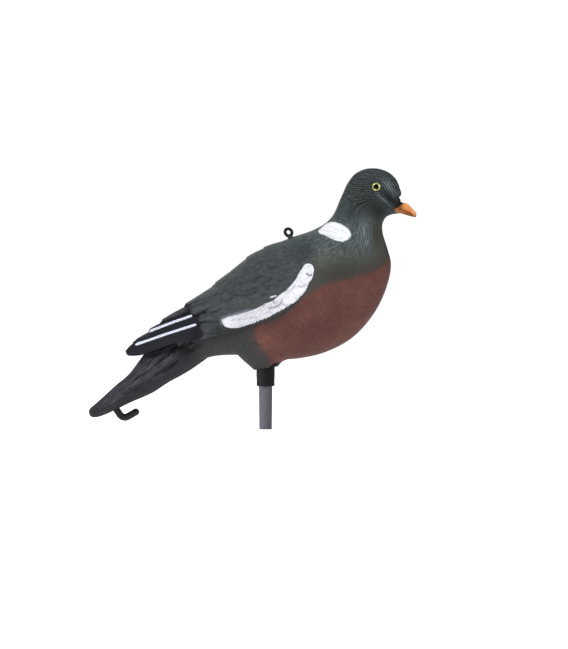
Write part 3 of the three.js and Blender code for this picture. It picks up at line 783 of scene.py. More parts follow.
def wing_stops(rung, edge, stands):
    """Section angles from the back to the wing's edge, closer together at the long feathers' edges."""
    a = np.linspace(0, edge, 400)
    points = on_section(rung, a, stands(a / edge))
    length = np.linalg.norm(np.diff(points, axis=0), axis=1)
    x, z = seen((points[1:] + points[:-1]) / 2)
    near = np.min([distance_to(line, x, z) for line in FEATHER_EDGES], axis=0)
    reach = reach_along(length * (1 + 1.6 * bell(near, 0.9)))
    end = edge - EDGE_ROUND * edge / length.sum()
    return np.interp(np.linspace(0, np.interp(end, a, reach), WING_MESH[1]), reach, a)


def wing_angles(t, shoulder):
    """The section angles of the wing's points, row by row, and those of its edge."""
    edge_line = np.vstack([[WING_EDGE[0][0] + 0.1, WING_EDGE[0][1] + 1.2], smooth_line(WING_EDGE)])
    angles, edges = [], []
    for t_here, rung in zip(t, WING(t)):
        edge = crossing(edge_line, rung)
        edges.append(edge)
        angles.append(wing_stops(rung, edge, lambda share: wing_stands(t_here, share, shoulder)))
    return np.array(angles), np.array(edges)[:, None]


def make_wings():
    """Both folded wings as one form: the right one, carved and rounded at its edge, and its mirror
    image."""
    shoulder = float(find_on(WING, *WING_EDGE[0])[0])
    t = even_steps(WING, WING_MESH[0], last=shoulder)
    rungs = WING(t)[:, None, :]
    angles, edges = wing_angles(t, shoulder)
    stands = wing_stands(t[:, None], angles / edges, shoulder)
    out = stands
    for _ in range(3):
        x, z = seen(on_section(rungs, angles, out))
        carving = carve_wing(x, z)
        out = stands + carving.height * (1 - at_shoulder(t, shoulder)[:, None])
    rounds = np.radians([30, 60, 90])
    turns = angles[:, -1:] + (edges - angles[:, -1:]) * np.sin(rounds)
    falls = out[:, -1:] - EDGE_ROUND * (1 - np.cos(rounds))
    right = on_section(rungs, np.hstack([angles, turns, edges]),
                       np.hstack([out, falls, np.full_like(edges, -EDGE_SUNK)]))
    marks = form_marks(WING_FORM, x, z, carving.across, carving.along, carving.gap)
    for mark, values in marks.items():
        lip = np.repeat(values[:, -1:], right.shape[1] - x.shape[1], axis=1)
        marks[mark] = round_again(np.concatenate([values, lip], axis=1))
    return loft("wings", round_again(right, MIRRORED), marks=marks)


# The groove between the folded wings: from x to x, and how deep and wide it gets at the tips
CLEFT_FROM, CLEFT_TO = -12, -152
CLEFT_DEEP = 11
CLEFT_HALF = 6.5

# Its section from the bottom up: shares of its half-width and depth, and how far over the back
CLEFT_SECTION = [(0, -1, 0), (0.25, -0.86, 0), (0.5, -0.62, 0), (0.78, -0.3, 0), (1, 0, 2), (1, 0, 11)]


def make_cleft():
    """What the groove between the folded wings takes away."""
    share = np.linspace(0, 1, 60)
    x = mix(CLEFT_FROM, CLEFT_TO, share)
    back = height_at(BACK_LINE, np.maximum(x, WING_RUNGS[0][0]))
    deep = mix(0.2, CLEFT_DEEP, share ** 1.2)
    wide = mix(1.2, CLEFT_HALF, share)
    side = [np.stack([x, wide * w, back + deep * d + up], -1) for w, d, up in CLEFT_SECTION]
    return loft("cleft", round_again(np.stack(side, axis=1), MIRRORED))


# The tail: how far its feathers and their shafts stand up, how far its keel hangs under the rows, and
# the length and feather width that its grain is measured in
TAIL_STEP = 1.5
TAIL_SHAFT = 0.22
KEEL_DROP = 1.0
TAIL_LENGTH = 150
TAIL_FEATHER_WIDTH = 5


def feather_rise(f, fade):
    """How far the tail's top stands up, by the place across it counted in feathers."""
    part = f % 1
    lift = np.where(part > 0.9, (1 - part) / 0.1, part / 0.9)
    rise = TAIL_STEP * lift + TAIL_SHAFT * bell(part - 0.5, 0.07)
    return rise * fade * ease(f / TAIL_FEATHERS, 0, 0.03)


def tail_marks(ring, f, along, fade):
    """The marks of the tail's points, with the gaps between its feathers."""
    per_side = np.concatenate([f[1:], f[-1:], f[-1:], f[:0:-1]])
    feather = np.concatenate([f[:1], per_side, f[:1], per_side[::-1]])
    gap = bell(feather % 1 - 1, 0.16) + bell(feather % 1, 0.06)
    gap = np.where((feather < 0.5) | (feather > TAIL_FEATHERS - 0.5), 0, 0.6 * gap) * fade
    return form_marks(TAIL_FORM, *seen(ring), feather * TAIL_FEATHER_WIDTH, along, gap)


def make_tail():
    """The tail: feathers fanned over its top, a keel under it and a thin lip along each side."""
    curve = Curve(TAIL_ROWS)
    t = even_steps(curve, TAIL_MESH_ROWS)
    top_x, top_z, edge_x, edge_z, half, keel_x, keel_z = (v[:, None] for v in curve(t).T)
    keel_z = keel_z - KEEL_DROP * ease(keel_x, -145, -116) * (1 - ease(keel_x, -64, -54))
    fade = ease(t, 0.5, 2.5)[:, None]
    f = np.linspace(0, TAIL_FEATHERS, TAIL_FEATHERS * TAIL_POINTS_A_FEATHER + 1)[:-1]
    f = np.concatenate([f, [TAIL_FEATHERS - 0.04]])
    s = f / TAIL_FEATHERS
    rise = feather_rise(f, fade)
    bend, under = s ** 1.5, s ** 1.7
    upper = np.stack([mix(top_x, edge_x, bend), half * s, mix(top_z, edge_z, bend) + rise], -1)
    upper[..., 2] -= cut_lines(TAIL_LINES, *seen(upper))
    lower_z = mix(keel_z, edge_z - 1.6, under) - 0.2 * rise
    lower = np.stack([mix(keel_x, edge_x, under), half * s, lower_z], -1)
    lip = (upper[:, -1:] + lower[:, -1:]) / 2 + [0, 0.35, 0]
    lips = [mix(upper[:, -1:], lip, 0.7), mix(lower[:, -1:], lip, 0.7)]
    right = np.concatenate([upper[:, 1:], *lips, lower[:, :0:-1]], axis=1)
    ring = np.concatenate([upper[:, :1], right, lower[:, :1], right[:, ::-1] * MIRRORED], axis=1)
    marks = tail_marks(ring, f, (t / curve.last)[:, None] * TAIL_LENGTH, fade)
    return loft("tail", ring, zip_from=upper.shape[1], marks=marks)


def make_boss():
    curve = Curve(BOSS_RUNGS)
    front_x, front_z, rear_x, rear_z, grown = curve(np.linspace(0, curve.last, BOSS_MESH[0])).T
    a = full_turn(BOSS_MESH[1])
    radius = MOUTH_RADIUS + grown
    span_x, span_z = (front_x - rear_x) / 2, (front_z - rear_z) / 2
    stretch = np.maximum(1, radius / np.hypot(span_x, span_z))
    x = ((front_x + rear_x) / 2)[:, None] + (span_x * stretch)[:, None] * np.cos(a)
    z = ((front_z + rear_z) / 2)[:, None] + (span_z * stretch)[:, None] * np.cos(a)
    ring = np.stack([x, radius[:, None] * np.sin(a), z], -1)
    return loft("boss", ring, marks=form_marks(BOSS_FORM, *seen(ring), radius[:, None] * a, grown[:, None]))


BILL_GAPE = [[136, 237.4], [141.1, 236.6], [144.3, 235.5], [150.1, 232.9], [154.4, 231.1], [157.4, 229.3]]
NOSTRIL = [[146.5, 239.2], [150.3, 238.2]]


def make_bill():
    curve = Curve(BILL_RUNGS)
    rungs, angles = whole_sections(curve, even_steps(curve, BILL_MESH[0]), BILL_MESH[1])
    x, z = seen(on_section(rungs, angles))
    out = ridge(BILL_GAPE, x, z, 0.55, -0.45) + ridge(NOSTRIL, x, z, 0.8, -0.35)
    out *= ease(np.abs(np.sin(angles)), 0.25, 0.6)
    return loft("bill", on_section(rungs, angles, out), marks=form_marks(BILL_FORM, x, z, z, x))


def rod(name, radius, start, end, sides=64):
    """A round bar between two points of the model, in millimetres."""
    start, end = Vector(start), Vector(end)
    mesh = bpy.data.meshes.new(name)
    work = bmesh.new()
    bmesh.ops.create_cone(work, cap_ends=True, segments=sides, radius1=radius, radius2=radius,
                          depth=(end - start).length)
    turn = (end - start).to_track_quat("Z", "Y").to_matrix().to_4x4()
    bmesh.ops.transform(work, matrix=Matrix.Scale(MM, 4) @ Matrix.Translation((start + end) / 2) @ turn,
                        verts=work.verts)
    bmesh.ops.triangulate(work, faces=work.faces)
    work.to_mesh(mesh)
    work.free()
    return place_object(name, mesh)


def way_at(angle):
    """The way that an angle points in the bird's middle plane."""
    return Vector((math.cos(angle), 0, math.sin(angle)))


eye_t, eye_a = find_on(TORSO, EYE_ALONG, EYE_HEIGHT)
EYE_X = EYE_ALONG - AXIS_X
EYE_Y = float(on_section(TORSO(eye_t), eye_a)[1]) - EYE_INSET
RING_FOOT = Vector((RING_ALONG + RING_FOOT_AHEAD - AXIS_X, 0,
                    float(height_at(BACK_LINE, RING_ALONG + RING_FOOT_AHEAD))))
RING_CENTRE = RING_FOOT + Vector((-RING_FOOT_AHEAD, 0,
                                  RING_FOOT_RISE + RING_FOOT_UNDER + RING_HOLE_RADIUS))
HOOK_WAY = way_at(HOOK_SHANK_TURN)
HOOK_START = Vector((HOOK_ALONG - AXIS_X, 0, float(height_at(KEEL_LINE, HOOK_ALONG)) + HOOK_FOOT_UP))


SEAT_PAST = 8


def make_seats():
    """The blind seats of the bush, the ring, the hook and the eyes. They are cut from past the surface."""
    up = Vector((0, 0, 1))
    seats = [
        rod("seat", BUSH_RADIUS + FIT_GAP, (0, 0, PEG_SHOWS), (0, 0, BUSH_TOP + FIT_GAP), 96),
        rod("seat", RING_SHANK_RADIUS + FIT_GAP, RING_FOOT - up * (RING_SHANK_LENGTH + FIT_GAP),
            RING_FOOT + up * SEAT_PAST),
        rod("seat", RING_FOOT_RADIUS + FIT_GAP, RING_FOOT, RING_FOOT + up * SEAT_PAST),
        rod("seat", HOOK_RADIUS + FIT_GAP, HOOK_START - HOOK_WAY * (HOOK_SUNK + FIT_GAP),
            HOOK_START + HOOK_WAY * SEAT_PAST),
    ]
    for side in (-1, 1):
        seats.append(rod("seat", EYE_RADIUS + FIT_GAP,
                         (EYE_X, side * (EYE_Y - EYE_SEAT_DEPTH - FIT_GAP), EYE_HEIGHT),
                         (EYE_X, side * (EYE_Y + SEAT_PAST), EYE_HEIGHT)))
    return seats


def make_face_notch():
    """The hollow across the face, over the root of the bill."""
    across = Vector((0, 12, 0))
    middle = Vector((FACE_NOTCH[0] - AXIS_X, 0, FACE_NOTCH[1]))
    return rod("notch", NOTCH_RADIUS, middle - across, middle + across, 48)


def make_shell():
    shell = make_torso()
    join(shell, make_tail())
    join(shell, make_wings())
    join(shell, make_cleft(), "DIFFERENCE")
    join(shell, make_boss())
    join(shell, make_face_notch(), "DIFFERENCE")
    join(shell, make_bill())
    for seat in make_seats():
        join(shell, seat, "DIFFERENCE")
    return shell


def settle(shell):
    """Finishes the joined shell: new points along its joins take their neighbours' marks, and nothing
    stands out of the model's box."""
    mesh = shell.data
    drawn, grain = (read_rows(mesh.attributes[mark].data, "vector", 3) for mark in ("drawn", "grain"))
    points = read_rows(mesh.vertices, "co", 3)
    ends = read_rows(mesh.edges, "vertices", 2, int)
    ends = np.vstack([ends, ends[:, ::-1]])
    for _ in range(4):
        bare = drawn[:, 2] == 0
        known = ends[bare[ends[:, 0]] & ~bare[ends[:, 1]]]
        for layer in (drawn, grain):
            layer[known[:, 0]] = layer[known[:, 1]]
    bare = drawn[:, 2] == 0
    drawn[bare] = np.column_stack([*seen(points[bare] / MM + [AXIS_X, 0, 0]),
                                   np.full(bare.sum(), TORSO_FORM)])
    low, high = (np.array(corner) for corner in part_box("body"))
    points = np.clip(points, low + 0.01 * MM, high - 0.01 * MM)
    mesh.vertices.foreach_set("co", points.ravel())
    for mark, values in (("drawn", drawn), ("grain", grain)):
        mesh.attributes.remove(mesh.attributes[mark])
        keep_mark(mesh, mark, values)
    mesh.update()
    return points / MM, drawn


# The paint's outlines on the shell, the same on both sides of the bird. The neck's patches end short of
# its middle, and a stroke of white lies loose over the bar

NECK_PATCH = [[56.6, 211.2], [61, 216.4], [66.5, 220.4], [73, 221.6], [79, 220], [85.4, 216.6],
              [90.4, 211.6], [91.2, 207.6], [88.4, 203.4], [81.4, 200.9], [74.4, 202.6], [64.3, 207.5]]
WING_BAR = [[-46.4, 117], [-45.3, 112.9], [-42.7, 109.8], [-36.7, 108.4], [-29.2, 108.6],
            [-20.2, 111.1], [-12, 113.6], [-6, 116.3], [3, 119.6], [11.2, 124.1], [19.5, 128.6],
            [27, 133.1], [33, 136.9], [36.7, 141.4], [40.8, 145.8], [44.2, 151.1], [45.9, 155.6],
            [49.6, 160.8], [51, 165.3], [51.7, 172.1], [49.8, 175.8], [45.7, 177.3], [41.9, 176],
            [39.7, 172.8], [35.5, 166.1], [33.3, 161.6], [29.2, 156.3], [24, 150.6], [19.8, 147],
            [15.7, 144.2], [12, 141.1], [8.2, 137.6], [0, 134.5], [-6, 131.1], [-12, 128.2],
            [-21, 125.2], [-31.5, 122.4], [-41.2, 119.6]]
LOOSE_WHITE = [[4.9, 141.0], [8.2, 141.9], [11.2, 142.8]]
LOOSE_HALF = 0.9
PATCH_ENDS = 1.3
MAROON = [[140, 190], [131.5, 180.5], [121.2, 171.4], [107.5, 165.6], [98.3, 162.9], [82.4, 158.8],
          [70.4, 155.2], [60.7, 152.4], [50.4, 146.4], [41.3, 139.6], [27.6, 127], [16.2, 118.2],
          [4.8, 113.2], [-8.9, 109.1], [-10.4, 104.2], [-8.3, 93.7], [-1, 84.6], [5.9, 74.4], [8, 66],
          [80, 40], [160, 90]]
UPPER_STRIPE = [[-79.6, 121.2], [-101, 113.8], [-124, 104.8]]
LOWER_STRIPE = [[-75.2, 111.8], [-106, 102], [-138.2, 90.8]]
STRIPE_HALF = 1.25
FLIGHT_FEATHERS = [[-62, 129], [-84.5, 133.5], [-112, 118], [-155, 90], [-155, 70], [-131, 78.2],
                   [-110, 86], [-91.4, 91.6], [-74, 94], [-66, 100]]
BILL_HORN = [[149.4, 243], [148, 241.8], [144.6, 239.3], [141.1, 236.7], [137.5, 235.6],
             [138.2, 233.2], [140.4, 231.2], [143, 228], [170, 222], [170, 246]]
BILL_BASE = [[143.6, 250], [149, 243], [148, 241], [144.6, 238.9], [141.1, 236.2], [137, 234.8],
             [138.6, 239], [141.6, 243.4]]
BLACKED_MOUTH = [[-16, 60], [-7.9, 62.6], [0.3, 62.6], [8, 69.8], [15.6, 71.6], [24, 71.6], [24, 50],
                 [-16, 50]]
# The tail's top, painted lighter where the light falls on it
TAIL_LIT_TOP = [[-181, 20], [-175.4, 22.8], [-161.4, 29.2], [-147.3, 36.7], [-124, 50.6], [-110, 59.2],
            [-96, 69.6], [-82, 78.9], [-70, 88], [-70, 130], [-200, 130], [-200, 20]]

# Softly lighter and darker places: (x, z), half-lengths, turn in degrees, and how many times the colour's
# brightness doubles there. Some are the paint's own lighter and darker places. Others are painted light:
# painted highlights on the brow, along the cheek's ridge and along the bill's ridge, a painted sheen down
# the neck, and painted shade in the hollow before the eye and on the throat.
TONES_AND_PAINTED_LIGHT = [
    (110, 263, 30, 14, 0, -0.75), (108, 241, 20, 11, 0, -1.15), (133.4, 246.8, 9, 3.6, -47, -1.9),
    (123, 232, 9, 8, 0, -1.3), (131, 261.6, 8, 4.4, -55, 1.45), (139.6, 256, 3, 9, 0, 0.2),
    (125.4, 246.4, 10, 1.7, -41, 1.5), (92, 228, 12, 8, 0, -0.5), (139.6, 243, 4, 4, 0, -0.9),
    (97, 210, 10, 9, 0, -0.05), (105, 212, 5.5, 16, 4, 0.6), (64, 190, 9, 17, 0, 0.25),
    (57.6, 190, 1.8, 9, 8, 0.5), (51, 194.5, 3, 2.2, 0, 0.4), (119, 210, 5, 16, 0, -0.45),
    (74, 168, 28, 9, 10, -0.7), (42, 192, 12, 8, 0, -0.65), (-54, 108, 10, 9, 0, -0.55),
    (-34, 106, 34, 7, 8, -0.3), (22, 120, 34, 5, 28, -0.3), (-82, 127.5, 3.5, 2.5, 0, -0.9),
    (-73, 106, 4, 5, 0, -0.7), (-74, 98, 6, 4, 0, -0.5), (2, 158, 16, 10, 20, -0.2),
    (0, 96, 9, 11, 0, 0.35), (60, 108, 26, 16, 25, -0.2), (-84, 79, 9, 5, 38, -0.3),
    (-108, 70.6, 22, 1.8, 41, 0.4), (-117, 79, 9, 1.5, 45, 0.35), (-142, 47, 20, 3.4, 38, 0.3),
    (-170, 24, 9, 5, 38, -0.3), (-140, 36, 14, 4, 30, -0.35), (161, 227.2, 2, 0.8, -40, -1.2),
    (151.5, 229.4, 8, 0.8, -14, -0.8), (158.6, 232, 5, 2.2, -50, 0.8), (150, 241, 2.5, 1.2, -20, 0.5),
    (-101, 121.4, 14, 2.6, 19, 1.1), (0, 64, 14, 3, 0, -0.6), (-104, 93, 24, 6, 15, 0.3),
    (-68, 100, 5, 5, 0, 0.4), (-110, 76, 8, 5, 40, 0.15),
]


# The lighter and darker places, painted highlights and painted shade among them, made darker along the
# lines cut into the wing and tail and along the bill's gape.
def tone_at(x, z, form):
    tone = np.zeros(x.shape)
    for at_x, at_z, half_x, half_z, turn, strength in TONES_AND_PAINTED_LIGHT:
        turn = math.radians(turn)
        dx, dz = x - at_x, z - at_z
        along = dx * math.cos(turn) + dz * math.sin(turn)
        across = dz * math.cos(turn) - dx * math.sin(turn)
        tone += strength * np.exp(-(along / half_x) ** 2 - (across / half_z) ** 2)
    tone -= np.where(form == WING_FORM, 1.5 * cut_lines(WING_LINES, x, z), 0)
    tone -= np.where(form == BILL_FORM, ridge(BILL_GAPE, x, z, 0.9, 1.2), 0)
    on_tail = (form == TAIL_FORM) | ((form == TORSO_FORM) & (x < -66))
    return tone - np.where(on_tail, 1.8 * cut_lines(TAIL_LINES, x, z), 0)


FAR_OUT = -30


def outline_paint(shell):
    """Gives each point of the shell its depth in every painted area, in millimetres, less than 0
    outside it. The paint's nodes draw the areas' edges from these."""
    points, drawn = settle(shell)
    x, z, form = drawn.T
    depth = {name: depth_in(smooth_line(outline, closed=True), x, z) for name, outline in (
        ("patch", NECK_PATCH), ("bar", WING_BAR), ("maroon", MAROON), ("horn", BILL_HORN),
        ("base", BILL_BASE), ("mouth", BLACKED_MOUTH))}

    def only(values, *forms):
        return np.where(np.isin(form, forms), values, FAR_OUT)

    patch = np.minimum(depth["patch"], (np.abs(points[:, 1]) - PATCH_ENDS) * 0.8)
    bar = np.maximum(depth["bar"], LOOSE_HALF - distance_to(LOOSE_WHITE, x, z))
    stripes = STRIPE_HALF - np.minimum(distance_to(UPPER_STRIPE, x, z), distance_to(LOWER_STRIPE, x, z))
    flight, top = (depth_in(np.array(outline + outline[:1], float), x, z)
                   for outline in (FLIGHT_FEATHERS, TAIL_LIT_TOP))
    for tip in GREY_TIPS:
        flight = np.minimum(flight, -tip.depth(x, z))
    for mark, values in {
        "white areas": (patch, only(bar, WING_FORM, TORSO_FORM), only(stripes, WING_FORM)),
        "colour areas": (only(depth["maroon"], TORSO_FORM, BOSS_FORM), only(flight, WING_FORM),
                         only(depth["horn"], TORSO_FORM, BILL_FORM)),
        "dark areas": (only(depth["mouth"], BOSS_FORM), only(depth["base"], TORSO_FORM, BILL_FORM), top),
        "tones": (tone_at(x, z, form), cut_lines(BAR_LINES + PATCH_LINES, x, z), head_grain(x, z)),
    }.items():
        keep_mark(shell.data, mark, np.clip(np.stack(values, -1), FAR_OUT, 99))


# Finishes

def srgb(red, green, blue):
    """A paint colour from its 0 to 255 values as seen, as the linear values that the nodes take."""
    def linear(v):
        v /= 255
        return v / 12.92 if v <= 0.04045 else ((v + 0.055) / 1.055) ** 2.4
    return (linear(red), linear(green), linear(blue), 1.0)


class Value:
    """A number in a finish's nodes. Arithmetic on it adds Math nodes."""

    def __init__(self, finish, socket):
        self.finish, self.socket = finish, socket

    def maths(self, operation, *terms):
        return self.finish.node("ShaderNodeMath", {"operation": operation}, *terms)

    def __add__(self, other):
        return self.maths("ADD", self, other)

    __radd__ = __add__

    def __mul__(self, other):
        return self.maths("MULTIPLY", self, other)

    __rmul__ = __mul__

    def __sub__(self, other):
        return self.maths("SUBTRACT", self, other)

    def __rsub__(self, other):
        return self.maths("SUBTRACT", other, self)

    def __pow__(self, other):
        return self.maths("POWER", self, other)

    def __rpow__(self, other):
        return self.maths("POWER", other, self)

    def most(self, other):
        return self.maths("MAXIMUM", self, other)

    def least(self, other):
        return self.maths("MINIMUM", self, other)

    def sine(self):
        return self.maths("SINE", self)

    def size(self):
        return self.maths("ABSOLUTE", self)

    def within(self, low, high):
        """0 at low and under, 1 at high and over, smooth between."""
        return self.finish.node(
            "ShaderNodeMapRange", {"interpolation_type": "SMOOTHSTEP"},
            Value=self, **{"From Min": low, "From Max": high})

    def waves(self, length, shift=0):
        """Rises from 0 to 1 and falls again, once in each length."""
        return (self * (2 * math.pi / length) + shift).sine() * 0.5 + 0.5


class Finish:
    """One material, built from its nodes."""

    def __init__(self, name, **constants):
        self.material = bpy.data.materials.new(name)
        self.material.use_nodes = True
        self.tree = self.material.node_tree
        self.tree.nodes.clear()
        self.shader = self.tree.nodes.new("ShaderNodeBsdfPrincipled")
        output = self.tree.nodes.new("ShaderNodeOutputMaterial")
        self.tree.links.new(self.shader.outputs[0], output.inputs["Surface"])
        for socket, constant in constants.items():
            self.shader.inputs[socket.replace("_", " ")].default_value = constant

    def give(self, socket, value):
        if isinstance(value, Value):
            self.tree.links.new(value.socket, socket)
        else:
            socket.default_value = value

    def node(self, kind, settings=None, *values, result=0, **named):
        """A node of a kind, with its settings, and its sockets' values or links in order or by name."""
        made = self.tree.nodes.new(kind)
        for setting, choice in (settings or {}).items():
            setattr(made, setting, choice)
        for socket, value in zip(made.inputs, values):
            self.give(socket, value)
        for socket, value in named.items():
            self.give(made.inputs[socket], value)
        return Value(self, made.outputs[result])

    def place(self):
        """The place on the object, in millimetres."""
        return self.node("ShaderNodeVectorMath", {"operation": "SCALE"},
                         self.node("ShaderNodeTexCoord", result="Object"), Scale=1 / MM)

    def parts(self, vector):
        """The three numbers of a vector."""
        split = self.node("ShaderNodeSeparateXYZ", None, vector)
        return [Value(self, socket) for socket in split.socket.node.outputs]

    def vector(self, x, y, z):
        return self.node("ShaderNodeCombineXYZ", None, x, y, z)

    def mark(self, name):
        return self.parts(self.node("ShaderNodeAttribute", {"attribute_name": name}, result="Vector"))

    def noise(self, vector, scale, detail=2.0, rough=0.5):
        return self.node("ShaderNodeTexNoise", None,
                         Vector=vector, Scale=scale, Detail=detail, Roughness=rough)

    def blend(self, share, first, second, kind="MIX"):
        """A colour between two colours."""
        made = self.tree.nodes.new("ShaderNodeMix")
        made.data_type, made.blend_type = "RGBA", kind
        self.give(made.inputs[0], share)
        self.give(made.inputs[6], first)
        self.give(made.inputs[7], second)
        return Value(self, made.outputs[2])

    def shade(self, colour, amount):
        """A colour times a number."""
        return self.blend(1.0, colour, self.vector(amount, amount, amount), "MULTIPLY")

    def finish(self, colour, rough=None, height=None, depth=0.1):
        """Links what varies to the shader. Height is in shares of depth, in millimetres."""
        self.give(self.shader.inputs["Base Color"], colour)
        if rough is not None:
            self.give(self.shader.inputs["Roughness"], rough)
        if height is not None:
            bump = self.node("ShaderNodeBump", None, Strength=1.0, Distance=depth * MM, Height=height)
            self.give(self.shader.inputs["Normal"], bump)
        return self.material


SLATE = srgb(60, 67, 68)
SHEEN = srgb(113, 123, 124)
WING_GREY = srgb(61, 65, 67)
FLANK_GREY = srgb(51, 51, 53)
UNDER_BROWN = srgb(64, 57, 54)
NECK_OLIVE = srgb(73, 73, 67)
MAROON_PAINT = srgb(82, 52, 49)
MAROON_LIGHT = srgb(99, 64, 57)
WHITE_PAINT = srgb(222, 224, 228)
STRIPE_WHITE = srgb(206, 209, 224)
BAR_WHITE = srgb(210, 211, 218)
BARB_GREY = srgb(116, 116, 126)
OVERSPRAY = srgb(150, 154, 172)
FLIGHT_BLACK = srgb(29, 29, 35)
TAIL_CHARCOAL = srgb(41, 41, 45)
TAIL_LIT_GREY = srgb(60, 61, 66)
BILL_ORANGE = srgb(146, 86, 42)
BILL_LIT_ORANGE = srgb(206, 136, 80)
BILL_PALE = srgb(174, 126, 88)
BILL_DARK = srgb(22, 18, 16)
MOUTH_BLACK = srgb(12, 11, 11)

# How far apart the hairlines of the head, the crossed ones on the brow and the bar's barbs are
HAIR_SPACING = 2.25
BROW_HAIR_SPACING = 2.4
BARB_SPACING = 2.45


class ShellPaint(Finish):
    """Matt airbrushed paint over carved plastic, coat over coat, and the values that the coats share."""

    def __init__(self):
        super().__init__("painted shell", Roughness=0.6, Specular_IOR_Level=0.08)
        self.spot = self.place()
        self.x, self.y, self.z = self.parts(self.spot)
        self.patch, self.bar, self.stripes = self.mark("white areas")
        self.maroon, self.flight, self.horn = self.mark("colour areas")
        self.mouth, self.base, self.top = self.mark("dark areas")
        self.tone, self.lines, self.head_across = self.mark("tones")
        self.across, self.along, self.gap = self.mark("grain")
        self.drawn_x, self.drawn_z, self.form = self.mark("drawn")
        self.side = self.y.within(-0.1, 0.1) * 40
        self.cloudy = self.noise(self.spot, 0.035, 3, 0.6)
        self.mottle = self.noise(self.spot, 0.22, 3, 0.6)
        self.speckle = self.noise(self.spot, 1.4, 2, 0.6)
        self.wobble = (self.noise(self.spot, 0.45) - 0.5) * 1.6
        upright = self.vector(self.x, self.y, self.z * 1.7)
        self.crumpled = self.noise(upright, 0.17, 4, 0.65).within(0.3, 0.7)
        self.find_places()
        self.find_hair()
        self.find_grain()

    def on_form(self, number):
        return (self.form.within(number - 0.6, number - 0.4)
                * (1 - self.form.within(number + 0.4, number + 0.6)))

    def find_places(self):
        """Where the bird's parts are, from 0 to 1."""
        self.on_head = self.z.within(218, 232)
        self.on_neck = self.z.within(158, 176) * (1 - self.on_head)
        self.on_torso = 1 - self.form.within(1.2, 1.8)
        self.on_wing = self.on_form(WING_FORM)
        from_brow = ((self.drawn_x - 132) ** 2 + (self.drawn_z - 260) ** 2) ** 0.5
        self.on_brow = 1 - from_brow.within(5, 11)
        napeward = self.drawn_x.within(84, 102).most(self.drawn_z.within(238, 250))
        under_cheek = (1 - self.drawn_z.within(230, 243)) * self.drawn_x.within(94, 112)
        groomed = self.on_head * (napeward * 1.1 + 0.3) * (1 - under_cheek * 0.75)
        groomed = groomed * (self.y.size().within(1.5, 8) * 0.75 + 0.25)
        self.groomed = groomed * (self.drawn_z.within(222, 244) * 0.6 + 0.4)

    def find_hair(self):
        """The carved hair of the head: even lines in some patches, and uneven ones in the others."""
        waver = self.noise(self.spot, 0.13) * 4
        even = self.head_across.waves(HAIR_SPACING, waver)
        uneven = self.streaks_along(self.head_across, self.drawn_x * 0.2, 0.8, 3, 0.7).within(0.38, 0.62)
        patchy = self.noise(self.spot, 0.12).within(0.35, 0.55) * 0.85
        hair = even * patchy + uneven * (1 - patchy)
        crossed = (self.drawn_x * 0.9 + self.drawn_z * 0.45).waves(BROW_HAIR_SPACING)
        self.hair = hair + (crossed - hair) * self.on_brow * 0.5

    def find_grain(self):
        """Streaks down the neck, hatching on the breast, the bar's barbs and the long feathers' vanes."""
        across, along = self.across, self.along
        self.streaks = self.streaks_along(across * 1.5, along * 0.15, 0.6, 3).within(0.4, 0.66)
        one_way = self.streaks_along(across + along, (across - along) * 0.12, 0.5)
        other_way = self.streaks_along(across - along, (across + along) * 0.12, 0.5, shift=7)
        self.hatch = one_way.most(other_way).within(0.45, 0.75)
        self.vane = self.streaks_along(across * 1.4, along * 0.2, 0.5)
        barb = (self.drawn_x * 0.82 - self.drawn_z * 0.57).waves(BARB_SPACING, self.mottle * 3)
        self.barb = barb * barb
        self.barbed = (1 - self.drawn_x.within(4, 22)) * self.drawn_x.within(-42, -30)

    def streaks_along(self, across, along, scale, detail=2, rough=0.6, shift=0):
        """Noise drawn out along the grain, different on each side of the bird."""
        return self.noise(self.vector(across, along, self.side + shift), scale, detail, rough)

    def grey_coat(self):
        """Slate, crumpled on the wings and darker low down on them and under them."""
        drawn_x, drawn_z = self.drawn_x, self.drawn_z
        colour = self.blend(self.cloudy, SLATE, self.shade(SLATE, 1.1))
        wing_coat = self.shade(WING_GREY, 0.74 + self.crumpled * 0.5)
        low_wing = 1 - (drawn_z - drawn_x * 0.18).within(100, 122)
        wing_coat = self.blend(low_wing * 0.7, wing_coat, FLANK_GREY)
        colour = self.blend(self.on_wing, colour, wing_coat)
        flank = (1 - self.on_wing) * (1 - self.z.within(100, 122)) * (1 - self.x.within(30, 60))
        colour = self.blend(flank * 0.8, colour, FLANK_GREY)
        ribs = self.streaks_along(drawn_x, drawn_z * 0.3, 0.5, 3, 0.65).within(0.36, 0.64)
        return self.shade(colour, 1 + (ribs - 0.5) * flank * 0.22)

    def neck_coat(self, colour):
        """Olive at the front and foot of the neck, a streaked painted sheen over it, and the head's hair.
        """
        drawn_x = self.drawn_x
        front = (1 - self.z.within(172, 198)).most(drawn_x.within(106, 118))
        olive = self.z.within(132, 152) * (1 - self.on_head) * self.on_torso * front
        colour = self.blend(olive * drawn_x.within(36, 58) * 0.8, colour, NECK_OLIVE)
        # Painted sheen: lighter bluish streaks where the neck's gloss catches the light.
        glossy = self.on_neck * self.z.within(176, 204) * self.on_torso * (1 - drawn_x.within(108, 120))
        glossy = glossy * (drawn_x.within(40, 85) * 0.6 + 0.4)
        colour = self.blend(glossy * (self.streaks * 0.5 - 0.03), colour, SHEEN)
        colour = self.shade(colour, 1 + (self.streaks - 0.5) * self.on_neck * self.on_torso * 0.3)
        return self.shade(colour, 1 + (self.hair - 0.55) * self.groomed * (1 + self.on_brow * 0.9))

